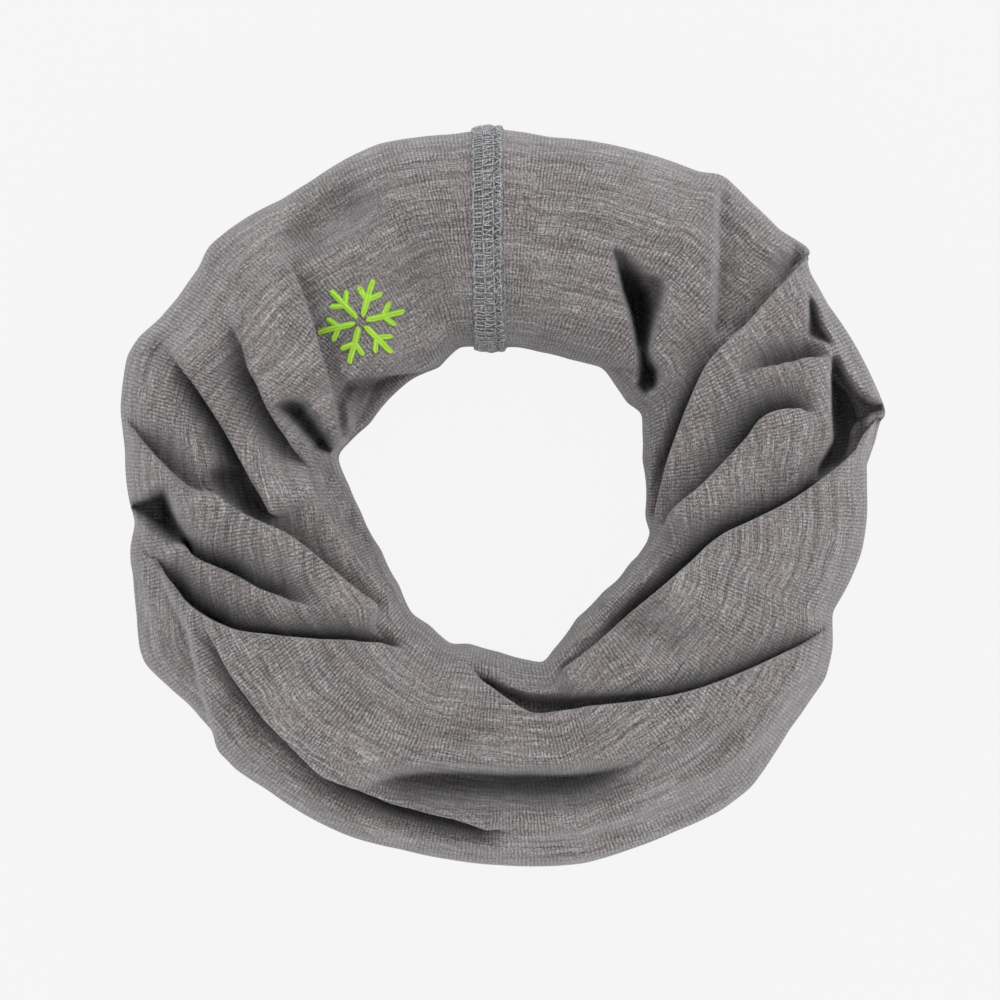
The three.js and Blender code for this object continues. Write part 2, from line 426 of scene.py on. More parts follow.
# The folds of the left half, from the back round to the front.
LEFT_FOLDS: dict[str, FoldEdge] = {
    "back_overlap": FoldEdge(
        ((-46, 53), (-43.5, 47.5), (-41.4, 42.8), (-39, 36), (-37.4, 30.2), (-35.5, 24), (-34, 17),
         (-33, 10.5)),
        Side.RIGHT, lip=1.7, lip_width=6, dip=9, dip_width=6, edge=1.2, lean=1.4, fade=(10, 3),
    ),
    "back_inner_edge": FoldEdge(
        ((-34.5, 23.4), (-31, 24.2), (-26, 24.7), (-21.6, 25.2), (-17, 25.8), (-12, 27.2)),
        Side.LEFT, lip=1.4, lip_width=4, dip=13, dip_width=8, edge=1.0, lean=1.0, fade=(2, 5),
    ),
    "upper_left_lip": FoldEdge(
        ((-61, 39), (-57.8, 35.4), (-55, 30.9), (-53.3, 26.5), (-51.3, 22.8), (-49.7, 19.1), (-47.6, 15.4),
         (-45.1, 11.7), (-42.6, 7.4), (-40.2, 4)),
        Side.LEFT, lip=3.5, lip_width=8, dip=12, dip_width=3.4, edge=1.8, fade=(16, 8),
        pockets=((25, 11, 8, 3.2),),
    ),
    "left_band_lip": FoldEdge(
        ((-74, 33.5), (-69.3, 28.2), (-65, 23.4), (-60, 16), (-57.4, 11.8), (-55, 7.4), (-52.5, 2.8),
         (-50.5, -1.4), (-48.5, -5.6)),
        Side.LEFT, lip=3.5, lip_width=7, dip=9, dip_width=2.6, edge=1.6, fade=(12, 2),
        pockets=((22, 9, 10, 2.6), (38, 11, 16, 3.8)),
    ),
    "waist_edge": FoldEdge(
        ((-62.6, 3.8), (-58.4, 0), (-53, -3.6), (-45.8, -7), (-42.6, -9.2), (-36.3, -14.5), (-30, -20.2),
         (-24, -24.4)),
        Side.RIGHT, lip=3.5, lip_width=6, dip=9, dip_width=3.5, fade=(5, 3),
    ),
    "inner_left_ridge": FoldEdge(
        ((-40, 7), (-37.4, -1.5), (-32, -9.4), (-26.7, -17), (-21.2, -23)),
        Side.RIGHT, lip=3.0, lip_width=4, dip=7, dip_width=6, fade=(5, 5),
    ),
    "left_hollow_edge": FoldEdge(
        ((-80, 19), (-77, 15), (-73.4, 10), (-67.6, 4.2), (-63, 0.8), (-59.6, -1.4)),
        Side.RIGHT, lip=2.6, lip_width=5, dip=11, dip_width=4.4, lean=1.2, fade=(12, 4),
    ),
    "left_shelf_edge": FoldEdge(
        ((-66.5, -8.2), (-64.7, -11.6), (-62.4, -13.1), (-59.1, -14.5), (-54.5, -16.6), (-49.9, -19.1),
         (-45.3, -20.5), (-41.4, -21.6), (-36, -22.5)),
        Side.RIGHT, lip=3.2, lip_width=5, dip=10.5, dip_width=3, fade=(3, 14),
        pockets=((8, 8, 9, 2.6), (19, 10, 5, 2.6)),
    ),
    "left_front_edge": FoldEdge(
        ((-76, -8.2), (-73.2, -11.2), (-70.4, -15), (-67.4, -18.9), (-65, -21.9), (-62, -24.2),
         (-58, -26.1), (-53.9, -27.5), (-45.3, -28.7), (-37.4, -29.4), (-29.5, -29.8), (-23, -30.1),
         (-18.5, -30.6)),
        Side.RIGHT, lip=3.5, lip_width=7, dip=10, dip_width=2.8, fade=(12, 8), slit=3,
        pockets=((20, 8, 12, 2.4), (42, 17, 9, 1.6)),
    ),
    "outer_left_layer": FoldEdge(
        ((-76, -8), (-74.5, -11.8), (-72.5, -18.7), (-69, -25), (-65.7, -30.2), (-63.6, -38.6), (-61, -48.7),
         (-59.5, -56)),
        Side.LEFT, lip=2.2, lip_width=3.5, dip=8, dip_width=11, edge=2.0, lean=0.8, fade=(14, 4),
    ),
    "outer_front_edge": FoldEdge(
        ((-66.6, -26.9), (-62.4, -31.1), (-59.8, -34.4), (-55.9, -39), (-52.6, -43.3), (-49.3, -47.2),
         (-45.3, -51.2), (-41.4, -55.1), (-37.4, -58.6), (-30, -61.4), (-23.5, -64.1), (-16, -66.1),
         (-8.4, -68), (0.6, -71.3)),
        Side.LEFT, lip=2.8, lip_width=7, dip=10, dip_width=2.8, fade=(16, 5), slit=5,
        pockets=((62, 16, 15, 2.6),),
    ),
    "front_swag": FoldEdge(
        ((-34, -58.2), (-26.5, -57.2), (-20, -56.4), (-12, -56.4), (-4, -56.8), (4, -57.3), (14, -57.3),
         (21, -56.2), (28, -54), (37, -50.4)),
        Side.LEFT, lip=0.3, lip_width=4, dip=12, dip_width=5.0, edge=4.0, lean=0.3, fade=(14, 20),
        pockets=((35, 22, 14, 4.6),),
    ),
}

# The folds of the right half, from the back round to the front.
RIGHT_FOLDS: dict[str, FoldEdge] = {
    "back_right_inner_edge": FoldEdge(
        ((13, 29), (19, 27.5), (24, 27), (27.4, 26.6), (28.9, 24.4)),
        Side.LEFT, lip=0.8, lip_width=4, dip=5, dip_width=4, edge=1.0, lean=0.4, fade=(5, 2),
    ),
    "right_ridge": FoldEdge(
        ((45.2, 72), (44.7, 54), (44.4, 43.3), (43.8, 32)),
        Side.RIGHT, lip=0.2, lip_width=8, dip=11, dip_width=7.5, edge=1.6, lean=0.0, fade=(6, 4),
    ),
    "right_line": FoldEdge(
        ((66, 53), (59.8, 46.5), (55.5, 42), (50.4, 36.2), (45, 31.2), (41.7, 27), (38.8, 20.8), (36, 13.6),
         (33.6, 6.4), (31.8, -1.4), (30.6, -6)),
        Side.LEFT, lip=2.4, lip_width=5.5, dip=10, dip_width=4.5, edge=1.1, lean=1.4, fade=(1, 3), slit=2,
        pockets=((4, 7, 12, 4.0), (53, 15, 9, 1.7)),
    ),
    "tongue_top": FoldEdge(
        ((47.2, 26), (50.8, 26.7), (55, 27.3), (62.4, 29), (69, 31)),
        Side.RIGHT, lip=2.1, lip_width=5, dip=11, dip_width=5.5, edge=1.0, fade=(7, 6),
        pockets=((13, 7, 6, 4.0),),
    ),
    "tongue_lower": FoldEdge(
        ((66, 18.2), (63.4, 18.5), (57.8, 18.1), (53.3, 16.2), (49.8, 11.8), (41.4, 2.9), (37.2, -0.8),
         (31.3, -6.7)),
        Side.LEFT, lip=2.8, lip_width=7, dip=12, dip_width=4.0, edge=1.2, fade=(5, 6), slit=2,
        pockets=((14, 10, 11, 3.6),),
    ),
    "great_right_edge": FoldEdge(
        ((80.4, 18.4), (77, 15.4), (74.6, 12.6), (73.4, 10), (69.9, 6.8), (65.6, 3.6), (61.2, 0.4),
         (56.9, -2.1), (51.1, -5), (46.3, -7.3), (42.8, -9.8), (38.4, -13.7), (32.3, -19), (26.1, -24.2),
         (19.1, -30.3), (13.6, -34.6), (10, -37)),
        Side.LEFT, lip=4.2, lip_width=10, dip=11, dip_width=2.6, fade=(4, 3), slit=4,
        pockets=((57, 19, 14, 2.5), (29, 14, 8, 1.5)),
    ),
    "front_pocket_edge": FoldEdge(
        ((-6.5, -34), (-4.6, -37), (-1.4, -39.9), (2.3, -42.5), (5.4, -44.3), (8, -44.7), (13.1, -44),
         (20.6, -43.1), (30.3, -41.8), (39, -40), (48, -36.8), (58, -32.3), (64, -29), (70, -24)),
        Side.RIGHT, lip=2.1, lip_width=8, dip=9, dip_width=1.8, edge=1.0, lean=1.4, fade=(8, 16), slit=7,
    ),
}

HOLLOWS: dict[str, Hollow] = {
    "left": Hollow(
        ((-60.4, 4.6), (-58, 6), (-55, 5.4), (-52.4, 1.6), (-50.4, -2), (-49, -5), (-54.2, -2.8),
         (-57.5, -0.4), (-60.4, 2.6)),
        depth=12, wall=2.4,
    ),
    "inner_left": Hollow(
        ((-44.8, 19.6), (-43.4, 20.2), (-41.6, 19.6), (-39.9, 17), (-37.7, 13.4), (-36.4, 10), (-37.9, 10.6),
         (-39.8, 13.4), (-42.3, 16.6)),
        depth=24, wall=2.0,
    ),
    "outer_left": Hollow(
        ((-77, -2), (-74.4, -1), (-71.3, 0.7), (-70.4, -0.8), (-68.4, -5.3), (-65.8, -9.9), (-65.2, -12),
         (-66.9, -10.4), (-70.3, -8), (-73.6, -4.8)),
        depth=27, wall=2.4,
    ),
    "back_right": Hollow(
        ((25, 47.6), (27.4, 45.8), (29.8, 43.4), (30.6, 39.4), (30, 34.5), (29.7, 31), (30.2, 29),
         (31.8, 26.4), (32, 24.8), (31.5, 23.2), (29.8, 22.3), (28.8, 23.4), (29.3, 26.1), (28.9, 29),
         (28.1, 34), (27, 38.4), (25.6, 43)),
        depth=29, wall=2.4,
    ),
    "back_right_rim": Hollow(
        ((23.5, 51), (25.1, 50.4), (27.3, 48.2), (29.8, 46.2), (32.8, 45.2), (33.2, 42.8), (32.4, 39.1),
         (31, 34.8), (29.9, 31.2), (28.5, 32), (27.2, 38.4), (25.4, 43.4), (24.2, 47.8)),
        depth=15, wall=1.8,
    ),
    "back_left_rim": Hollow(
        ((-35.2, 22.6), (-33, 23.8), (-26, 24.6), (-19, 25.8), (-12, 28), (-14, 22), (-24, 14), (-31, 7),
         (-34, 13)),
        depth=7, wall=1.6,
    ),
    "right_upper": Hollow(
        ((64.5, 40.6), (65.3, 38.6), (66.6, 34.8), (68.2, 32.2), (66, 32.8), (64, 33.7)),
        depth=13, wall=1.6,
    ),
    "right_corner": Hollow(
        ((69.4, 28.2), (71.1, 25), (73.6, 21.4), (76.4, 19.4), (79, 18.6), (77, 17.6), (75, 16), (74.6, 12.8),
         (73.4, 9.8), (70.6, 7), (66, 4.2), (66.2, 6), (69.4, 11.4), (69, 17), (69, 24)),
        depth=32, wall=1.8,
    ),
    "front": Hollow(
        ((-3.6, -38.6), (0.2, -40.3), (5.6, -41.9), (13.1, -42.3), (20.6, -42.3), (30.3, -41.4),
         (30.3, -42.1), (20.6, -43.7), (13.1, -44.5), (7.7, -45.1), (5, -44.6), (2.3, -42.7)),
        depth=9, wall=1.6,
    ),
}

SWELLS: dict[str, Swell] = {
    "front_swag_valley": Swell(((-18, -49.5), (0, -50.5), (18, -51), (34, -48)), -2.6, 2.4),
    "front_swag_ridge": Swell(((-24, -53), (-6, -53.2), (10, -54), (22, -53)), 1.4, 1.5),
    "front_swag_roll": Swell(((-36, -60.5), (-22, -62), (-4, -65), (16, -64.5), (34, -59)), 1.6, 2.2),
    "front_bottom_dip": Swell(
        ((0, -72), (10, -72.5), (20, -71.3), (34.4, -66.6), (46, -61), (54, -53)), -4.0, 1.8
    ),
    "front_right_ridge": Swell(((40, -60), (49.8, -52.3), (60.3, -40.7), (70, -29)), 4.4, 1.9),
    "front_right_crease": Swell(((12, -62), (30, -55), (50, -44.5), (70, -29)), 3.0, 1.5),
    "front_right_fold": Swell(((20, -54), (40, -46.5), (56, -37), (68, -28)), 2.4, 1.4),
    "back_left_dent": Swell(((-26, 66), (-31, 61.5), (-37, 57), (-43, 52), (-46, 47)), -11.0, 3.6, 9),
    "back_centre_dent": Swell(((-17, 60), (-18, 45), (-18.5, 34), (-17.5, 24)), -7.0, 4.0, 14),
    "back_centre_shoulder": Swell(((-27, 52), (-24, 44), (-25, 40)), -2.5, 4.5, 6),
    "back_left_crest": Swell(((-56, 52), (-52, 42), (-47, 32)), 1.6, 4.0),
    "left_crest_dent": Swell(((-77, 31), (-72, 29.5), (-68, 32)), -4.0, 3.0, 5),
    "left_band_roll": Swell(((-70, 18), (-66, 10), (-60, 3)), 2.0, 2.5, 6),
    "inner_left_light": Swell(((-31.6, 24), (-32.2, 12)), 5.0, 0.9, 3),
    "inner_left_fall": Swell(((-38.6, 10), (-36.2, 2), (-32, -6), (-27, -14)), -6.0, 2.2, 5),
    "right_dent": Swell(((21, -26), (30, -29), (43, -31.8)), -8.0, 3.2, 9),
    "right_dent_rim": Swell(((24, -34.5), (32, -35), (42, -34)), 1.5, 2.0, 8),
}
FAN_CREASES = 6


def fine_fans() -> list[Swell]:
    """Lays two fans of fine creases, which spread from the outer edge at the front right and front left.

    Returns:
        The creases.
    """
    creases = []
    for ray in range(FAN_CREASES):
        right = ((67, -32, -0.8, -2.6), (50, -44.5, -1.6, -2.6), (26, -54.5, -3.0, -2.0))
        left = ((-31, -57.5, 1.5, -0.4), (-38, -52, -1.2, 4.2), (-42, -44, -1.5, 5.0))
        for stops, height, width, fade in ((right, 1.5, 0.9, 16.0), (left, 1.0, 1.0, 7.0)):
            path = tuple((x + step_x * ray, y + step_y * ray) for x, y, step_x, step_y in stops)
            creases.append(Swell(path, height, width, fade))
    return creases


# ---- The folded tube -------------------------------------------------------------------------------


@dataclass
class FoldedTube:
    """The jersey tube, from the inner hem over the folds to the outer hem.

    Attributes:
        crown: The height of the folds, as [degrees, millimetres] stations.
        outer: The outline of the outer folds from above.
        inner: The outline of the hole from above.
        flat: The girth of the tube and its height between the hems, laid flat, in metres.
        columns: The number of mesh columns round the ring.
        inner_rows: The number of mesh rows down the inner wall.
        crown_rows: The number of mesh rows over the crown.
        crowding: How strongly the crown's rows crowd towards both its edges.
        outer_rows: The number of mesh rows down the outer wall.
        thickness: The jersey's thickness.
        belly: How high the hole's edge and the outer edge lie, as shares of the crown's height.
        hem_top: How high the hems reach.
        rim_sink: How deep a fold may sink right at the outlines.
        funnel: How much deeper it may sink for each millimetre away from them.
        lowest: How low a fold may come anywhere.
        fullness: How square the ring's section is, as the power of its curve.
        softness: How far the corners of the hole's and the outer outline are rounded, in degrees.
        rim_rows: The number of crown rows at each edge that press on the wall below.
        carry: How much of the folds' fall the walls take on, as a share.
        outer_rolls: How far the outer wall stands back on its way down, for each share of the way.
        inner_rolls: The same for the inner wall.
        points: The cloth's points, with a row for each mesh row and a column for each mesh column.
        angles: The angle of each mesh column, in radians.
    """

    crown: Path2 = ((0, 57), (45, 54), (90, 51), (135, 54), (180, 58), (225, 61), (270, 62), (315, 60))
    outer: Path2 = (
        (-80.2, 18.3), (-78.8, 29.6), (-76.4, 33.4), (-72, 37.2), (-68.2, 41.6), (-63.8, 47.9), (-61.9, 52.3),
        (-57.5, 56), (-53, 59), (-46.2, 62.4), (-40.5, 66), (-32.3, 71.2), (-26, 74), (-17.8, 75.4),
        (-10.9, 76), (-6.5, 76.6), (-2.7, 77.2), (1.7, 76.8), (9.9, 75.4), (26.7, 72.9), (41.2, 68),
        (46.4, 67.6), (51.9, 62.2), (58.2, 56), (64.8, 52), (64.8, 46.6), (68.2, 40.3), (73.3, 32.8),
        (77.2, 25.3), (80.4, 17.7), (79.1, 12), (77, 6.3), (76.6, 1.3), (76.4, -4.8), (75.2, -11.8),
        (72.7, -18), (69, -24.4), (69.2, -31.9), (67.6, -38.2), (64.5, -42.6), (60, -48.9), (56.9, -54),
        (52, -61), (45.6, -65.9), (36, -70.3), (26.7, -74), (17.2, -76.9), (6.5, -77.6), (-0.8, -77.3),
        (-10.9, -76.2), (-21.6, -74), (-32.3, -71.2), (-41.8, -66.6), (-49.4, -61.5), (-56.3, -57),
        (-59.4, -53.3), (-60.7, -49.6), (-65.7, -44), (-70.8, -39.5), (-75.2, -35.3), (-76.4, -32),
        (-77.1, -25.6), (-78, -18), (-78.2, -11), (-77, -5.5), (-78.2, -1.7), (-79, 3), (-79.4, 9.7),
    )
    inner: Path2 = (
        (-34.6, 8.4), (-32.3, 2.5), (-29.8, -3.1), (-25.4, -11.3), (-21.6, -18.7), (-19, -24.6),
        (-15.3, -26.9), (-10.9, -30.9), (-7.1, -30.7), (-0.8, -32.5), (6.1, -34.4), (8.6, -34.9),
        (10.3, -32.3), (15.3, -25.6), (20.4, -20.6), (26.7, -14.3), (31, -8), (30, -5.5), (29.8, -3.8),
        (29.2, 7.6), (29.2, 14), (29.2, 17.4), (26, 19.5), (23.5, 23.3), (21, 26.9), (14.1, 28.6),
        (7.8, 30.2), (2.7, 31.3), (-1.7, 30.9), (-9, 31.3), (-10.9, 29.6), (-13.4, 26.9), (-19, 24.6),
        (-21.6, 22.5), (-27.9, 15.1),
    )
    flat: tuple[float, float] = (0.5, 0.19)
    columns: int = 640
    inner_rows: int = 34
    crown_rows: int = 130
    crowding: float = 0.38
    outer_rows: int = 60
    thickness: float = 0.6
    belly: tuple[float, float] = (0.6, 0.62)
    hem_top: float = 11.6
    rim_sink: float = 6.0
    funnel: float = 3.2
    lowest: float = 5.0
    fullness: float = 2.7
    softness: tuple[float, float] = (1.4, 0.6)
    rim_rows: int = 45
    carry: float = 0.35
    outer_rolls: Path2 = ((0, 0), (0.1, 0.6), (0.32, 14.5), (0.54, 1.4), (0.64, 1.2), (0.83, 13), (1, 6.6))
    inner_rolls: Path2 = ((0, 0), (0.12, 0.4), (0.36, 9), (0.58, 1.2), (0.68, 1.2), (0.86, 8.5), (1, 6.6))
    points: np.ndarray = field(init=False)
    angles: np.ndarray = field(init=False)

    # How the rolls wander up and down a wall, and how their depth varies, round the ring.
    ROLL_SWAY: ClassVar[Waves] = ((0.07, 2, 0.8), (0.05, 3, -1.1), (0.03, 7, 0.3))
    ROLL_DEPTH: ClassVar[Waves] = ((0.22, 3, 0.4), (0.16, 5, 2.0), (0.08, 11, 0.0))
    MEAN_DEPTH: ClassVar[float] = 0.8
    # The steps of the curve that rounds the rolls off, and the width of its window.
    ROLL_STEPS: ClassVar[int] = 400
    ROLL_WINDOW: ClassVar[int] = 45
    # A wall starts to flatten where a fold above it falls by the first, and is flattest at the second.
    FLATTENS: ClassVar[tuple[float, float]] = (8.0, 24.0)
    # The share of the rolls' depth that is then gone, and the columns to each side that this spreads over.
    FLATTEST: ClassVar[float] = 0.85
    FLAT_COLUMNS: ClassVar[int] = 8
    # On the walls a fold's rise is cut off, its push inwards is limited, and both fade in and out on the way.
    WALL_RISE: ClassVar[float] = 0.8
    WALL_PUSH: ClassVar[float] = 3.5
    FADES_IN: ClassVar[float] = 0.25
    FADES_OUT: ClassVar[float] = 0.65
    # How near the axis a fold is looked up at most, and how high a wall stands at least.
    NEAREST: ClassVar[float] = 6.0
    LEAST_WALL: ClassVar[float] = 6.0

    def __post_init__(self) -> None:
        """Works out the cloth's points."""
        self.angles = math.pi / 2 + 2 * math.pi * np.arange(self.columns) / self.columns
        self.points = self.fold()

    @staticmethod
    def set_back(share: np.ndarray, rolls: Path2) -> np.ndarray:
        """How far a wall stands back, with the corners of its rolls rounded.

        Args:
            share: The share of the way down the wall.
            rolls: The set-back at a few shares.

        Returns:
            The set-back at each share, in millimetres.
        """
        at, depth = np.array(rolls, float).T
        fine = np.linspace(0.0, 1.0, FoldedTube.ROLL_STEPS + 1)
        soft = np.hanning(FoldedTube.ROLL_WINDOW)
        padded = np.pad(np.interp(fine, at, depth), FoldedTube.ROLL_WINDOW // 2, mode="edge")
        return np.interp(share, fine, np.convolve(padded, soft / soft.sum(), "valid"))

    def fold(self) -> np.ndarray:
        """Shapes the whole cloth.

        Returns:
            The points, in millimetres, with a row for each mesh row and a column for each mesh column.
        """
        inner = outline_radius(self.inner, self.angles, self.softness[0])
        outer = outline_radius(self.outer, self.angles, self.softness[1])
        top = stations(self.crown, self.angles)
        inner_edge, outer_edge = (share * top for share in self.belly)
        even = np.linspace(0.0, 1.0, self.crown_rows)[:, None]
        k = (1.0 - self.crowding) * even + self.crowding * (0.5 - 0.5 * np.cos(math.pi * even))
        radius = inner + (outer - inner) * k
        edge = inner_edge + (outer_edge - inner_edge) * k
        height = edge + (top - edge) * np.sqrt(1.0 - np.abs(2.0 * k - 1.0) ** self.fullness)
        rise, shift = self.displace(radius)
        from_rim = np.minimum(radius - inner, outer - radius)
        rise = np.maximum(rise, -self.rim_sink - self.funnel * from_rim)
        crown = self.ring(radius, np.maximum(height + rise, self.lowest))
        crown[..., :2] += shift
        sides = []
        for rim, outline, edge_height, rolls, rows, outward in (
            (slice(0, self.rim_rows), inner, inner_edge, self.inner_rolls, self.inner_rows, -1.0),
            (slice(-self.rim_rows, None), outer, outer_edge, self.outer_rolls, self.outer_rows, 1.0),
        ):
            end = 0 if outward < 0.0 else -1
            room = self.room_under(rise[rim])
            sides.append(self.wall(outline, edge_height + rise[end], shift[end], rolls, rows, outward, room))
        hole_wall, outer_wall = sides
        return self.relax(np.vstack([hole_wall[::-1], crown, outer_wall]))

    def room_under(self, rise: np.ndarray) -> np.ndarray:
        """Works out how much room the rolls of a wall have under the folds.

        Args:
            rise: How far the folds near the wall rise, with a row for each mesh row.

        Returns:
            The room for each mesh column, where 1 leaves the rolls as deep as they are.
        """
        sunk = np.clip(-rise.min(axis=0), 0.0, None)
        room = 1.0 - self.FLATTEST * smooth_step(*self.FLATTENS, sunk)
        shifts = range(-self.FLAT_COLUMNS, self.FLAT_COLUMNS + 1)
        return sum(np.roll(room, shift) for shift in shifts) / len(shifts)

    def ring(self, radius: np.ndarray, height: np.ndarray) -> np.ndarray:
        """Points at a radius and a height for each mesh column."""
        cosine, sine = np.cos(self.angles), np.sin(self.angles)
        return np.stack(np.broadcast_arrays(radius * cosine, radius * sine, height), axis=-1).copy()

    def wall(
        self,
        outline: np.ndarray,
        top: np.ndarray,
        shift: np.ndarray,
        rolls: Path2,
        rows: int,
        outward: float,
        room: np.ndarray,
    ) -> np.ndarray:
        """Shapes a wall, which falls in soft rolls from the crown's edge to its hem.

        Args:
            outline: The radius of the crown's edge.
            top: The height of the crown's edge.
            shift: How far that edge is moved aside.
            rolls: The wall's rolls.
            rows: The number of mesh rows.
            outward: 1 for the outer wall and -1 for the inner one.
            room: How much of the rolls' depth there is room for.

        Returns:
            The wall's points, from the top down.
        """
        share = np.linspace(0.0, 1.0, rows + 1)[1:, None]
        depth = waves(self.angles, self.ROLL_DEPTH, self.MEAN_DEPTH)
        sway = waves(self.angles, self.ROLL_SWAY)
        swayed = np.clip(share + sway * np.sin(math.pi * share), 0.0, 1.0)
        back = self.set_back(swayed, rolls)
        back = back * (1.0 + (depth * room - 1.0) * np.sin(math.pi * share))
        radius = outline - outward * back
        unrolled = np.maximum(outline + outward * share * (top.mean() - self.hem_top), self.NEAREST)
        dent = np.minimum(self.displace(unrolled)[0], self.WALL_RISE) * smooth_step(0.0, self.FADES_IN, share)
        dent = dent * (1.0 - smooth_step(self.FADES_OUT, 1.0, share))
        radius = radius + outward * np.maximum(self.carry * dent, -self.WALL_PUSH)
        fall = np.maximum(top, self.hem_top + self.LEAST_WALL) - self.hem_top
        height = self.hem_top + fall * (1.0 - share)
        points = self.ring(radius, height)
        points[..., :2] += shift * ((1.0 - share) ** 2)[..., None]
        return points

    def displace(self, radius: np.ndarray) -> tuple[np.ndarray, np.ndarray]:
        """Adds up the folds.

        Args:
            radius: The radius, seen from above and unrolled over the walls, of each point.

        Returns:
            The rise of each point and how far it moves aside.
        """
        at = self.ring(radius, 0.0)[..., :2].reshape(-1, 2)
        rise, shift = wrinkles(at), np.zeros((len(at), 2))
        for edge in (*LEFT_FOLDS.values(), *RIGHT_FOLDS.values()):
            lift, aside = edge.lift(at)
            rise += lift
            shift += aside
        for soft in (*HOLLOWS.values(), *SWELLS.values(), *fine_fans()):
            rise += soft.lift(at)
        return rise.reshape(radius.shape), shift.reshape(*radius.shape, 2)

    @staticmethod
    def relax(points: np.ndarray) -> np.ndarray:
        """Softens the cloth by drawing each point a little towards its neighbours.

        Args:
            points: The cloth's points.

        Returns:
            The softened points.
        """
        around = (np.roll(points, 1, axis=1) + np.roll(points, -1, axis=1)) / 2
        along = points.copy()
        along[1:-1] = (points[2:] + points[:-2]) / 2
        return 0.5 * points + 0.25 * (around + along)

    def surface(self, angle: np.ndarray, row: np.ndarray) -> tuple[np.ndarray, np.ndarray]:
        """Looks up places on the cloth between mesh points.

        Args:
            angle: The angles round the ring, in radians.
            row: The mesh rows, which may be fractions.

        Returns:
            The points and their outward unit normals.
        """
        column = (angle - math.pi / 2) / (2 * math.pi) * self.columns
        low_row = np.clip(np.floor(row).astype(int), 0, len(self.points) - 2)
        low_column = np.floor(column).astype(int)
        u, v = (column - low_column)[..., None], (row - low_row)[..., None]
        steps = ((0, 0), (0, 1), (1, 0), (1, 1))
        a, b, c, d = (self.points[low_row + r, (low_column + s) % self.columns] for r, s in steps)
        point = (a * (1 - u) + b * u) * (1 - v) + (c * (1 - u) + d * u) * v
        normal = np.cross(c + d - a - b, b + d - a - c)
        return point, normal / np.linalg.norm(normal, axis=-1, keepdims=True)

    def build(self, material: bpy.types.Material, trims: list[bpy.types.Object]) -> bpy.types.Object:
        """Makes the cloth.

        Args:
            material: The jersey's finish.
            trims: Not used.

        Returns:
            The cloth.
        """
        rows, columns = self.points.shape[:2]
        faces, places = quad_grid(rows, columns, ROW_FIRST)
        piece = mesh_piece("knit_tube_cloth", self.points.reshape(-1, 3), faces)
        steps = np.linalg.norm(np.diff(self.points, axis=0), axis=2).mean(axis=1)
        along = np.concatenate([[0.0], np.cumsum(steps)]) * MM
        girth = self.flat[0]
        set_uv(piece, [np.stack([column / columns * girth, along[row]], axis=-1) for row, column in places])
        solid = piece.modifiers.new("thickness", "SOLIDIFY")
        solid.thickness = self.thickness * MM
        solid.offset = -1.0
        dress(piece, material, "jersey", "knit_tube")
        return piece


def wrinkles(at: np.ndarray) -> np.ndarray:
    """Works out the fine unevenness of laid cloth, the same on every run.

    Args:
        at: Places on the ring seen from above, in millimetres, one a row.

    Returns:
        The height change at each place.
    """
    # Two sets of waves: how many, their most turns round the ring, the least and the most that they run
    # across it, and their most height.
    broad, fine = (30, 26, -0.5, 0.5, 0.13), (36, 9, 0.7, 2.2, 0.06)
    rng = np.random.default_rng(7)
    angle, radius = np.arctan2(at[:, 1], at[:, 0]), np.hypot(at[:, 0], at[:, 1])
    total = np.zeros(len(at))
    for count, turns_most, across_least, across_most, size_most in (broad, fine):
        for _ in range(count):
            turns, across = rng.integers(-turns_most, turns_most), rng.uniform(across_least, across_most)
            phase, size = rng.uniform(0, 2 * math.pi), rng.uniform(0.3 * size_most, size_most)
            total += size * np.sin(turns * angle + across * radius + phase)
    return total


# ---- Threads, hems, seam and embroidery ------------------------------------------------------------

THREAD_END = 0.55  # how thick a thread is where it goes into the cloth, as a share of its thickness


def thread_piece(
    name: str, points: np.ndarray, normals: np.ndarray, radius: float, sides: int = 6
) -> bpy.types.Object:
    """Makes many lengths of thread as one piece.

    Args:
        name: The piece's name.
        points: The thread's middle line, as an array of lengths, points and coordinates, in millimetres.
        normals: The direction away from the cloth at each point.
        radius: The thread's radius, in millimetres.
        sides: The number of sides of its section.

    Returns:
        The piece, with a UV map that runs round and along each thread, in metres.
    """
    lengths, steps = points.shape[:2]
    tangent = np.gradient(points, axis=1)
    tangent /= np.maximum(np.linalg.norm(tangent, axis=-1, keepdims=True), 1e-9)
    side = np.cross(tangent, normals)
    side /= np.maximum(np.linalg.norm(side, axis=-1, keepdims=True), 1e-9)
    up = np.cross(side, tangent)
    taper = np.ones(steps)
    taper[0] = taper[-1] = THREAD_END
    turn = 2 * math.pi * np.arange(sides) / sides
    ring = side[:, :, None] * np.cos(turn)[:, None] + up[:, :, None] * np.sin(turn)[:, None]
    around = points[:, :, None] + ring * (radius * taper)[:, None, None]
    starts = np.arange(lengths)[:, None] * steps * sides
    one, places = quad_grid(steps, sides, COLUMN_FIRST)
    faces = (one + starts[:, None]).reshape(-1, 4)
    caps = [*(starts + np.arange(sides)[::-1]), *(starts + (steps - 1) * sides + np.arange(sides))]
    piece = mesh_piece(name, around.reshape(-1, 3), [*faces.tolist(), *(cap.tolist() for cap in caps)])
    gone = np.linalg.norm(np.diff(points, axis=1), axis=-1)
    gone = np.concatenate([np.zeros((lengths, 1)), np.cumsum(gone, axis=1)], axis=1) * MM
    girth = 2 * math.pi * radius * MM / sides
    uv = [np.stack(np.broadcast_arrays(part * girth, gone[:, row]), axis=-1) for row, part in places]
    set_uv(piece, uv, caps=2 * lengths * sides)
    return piece


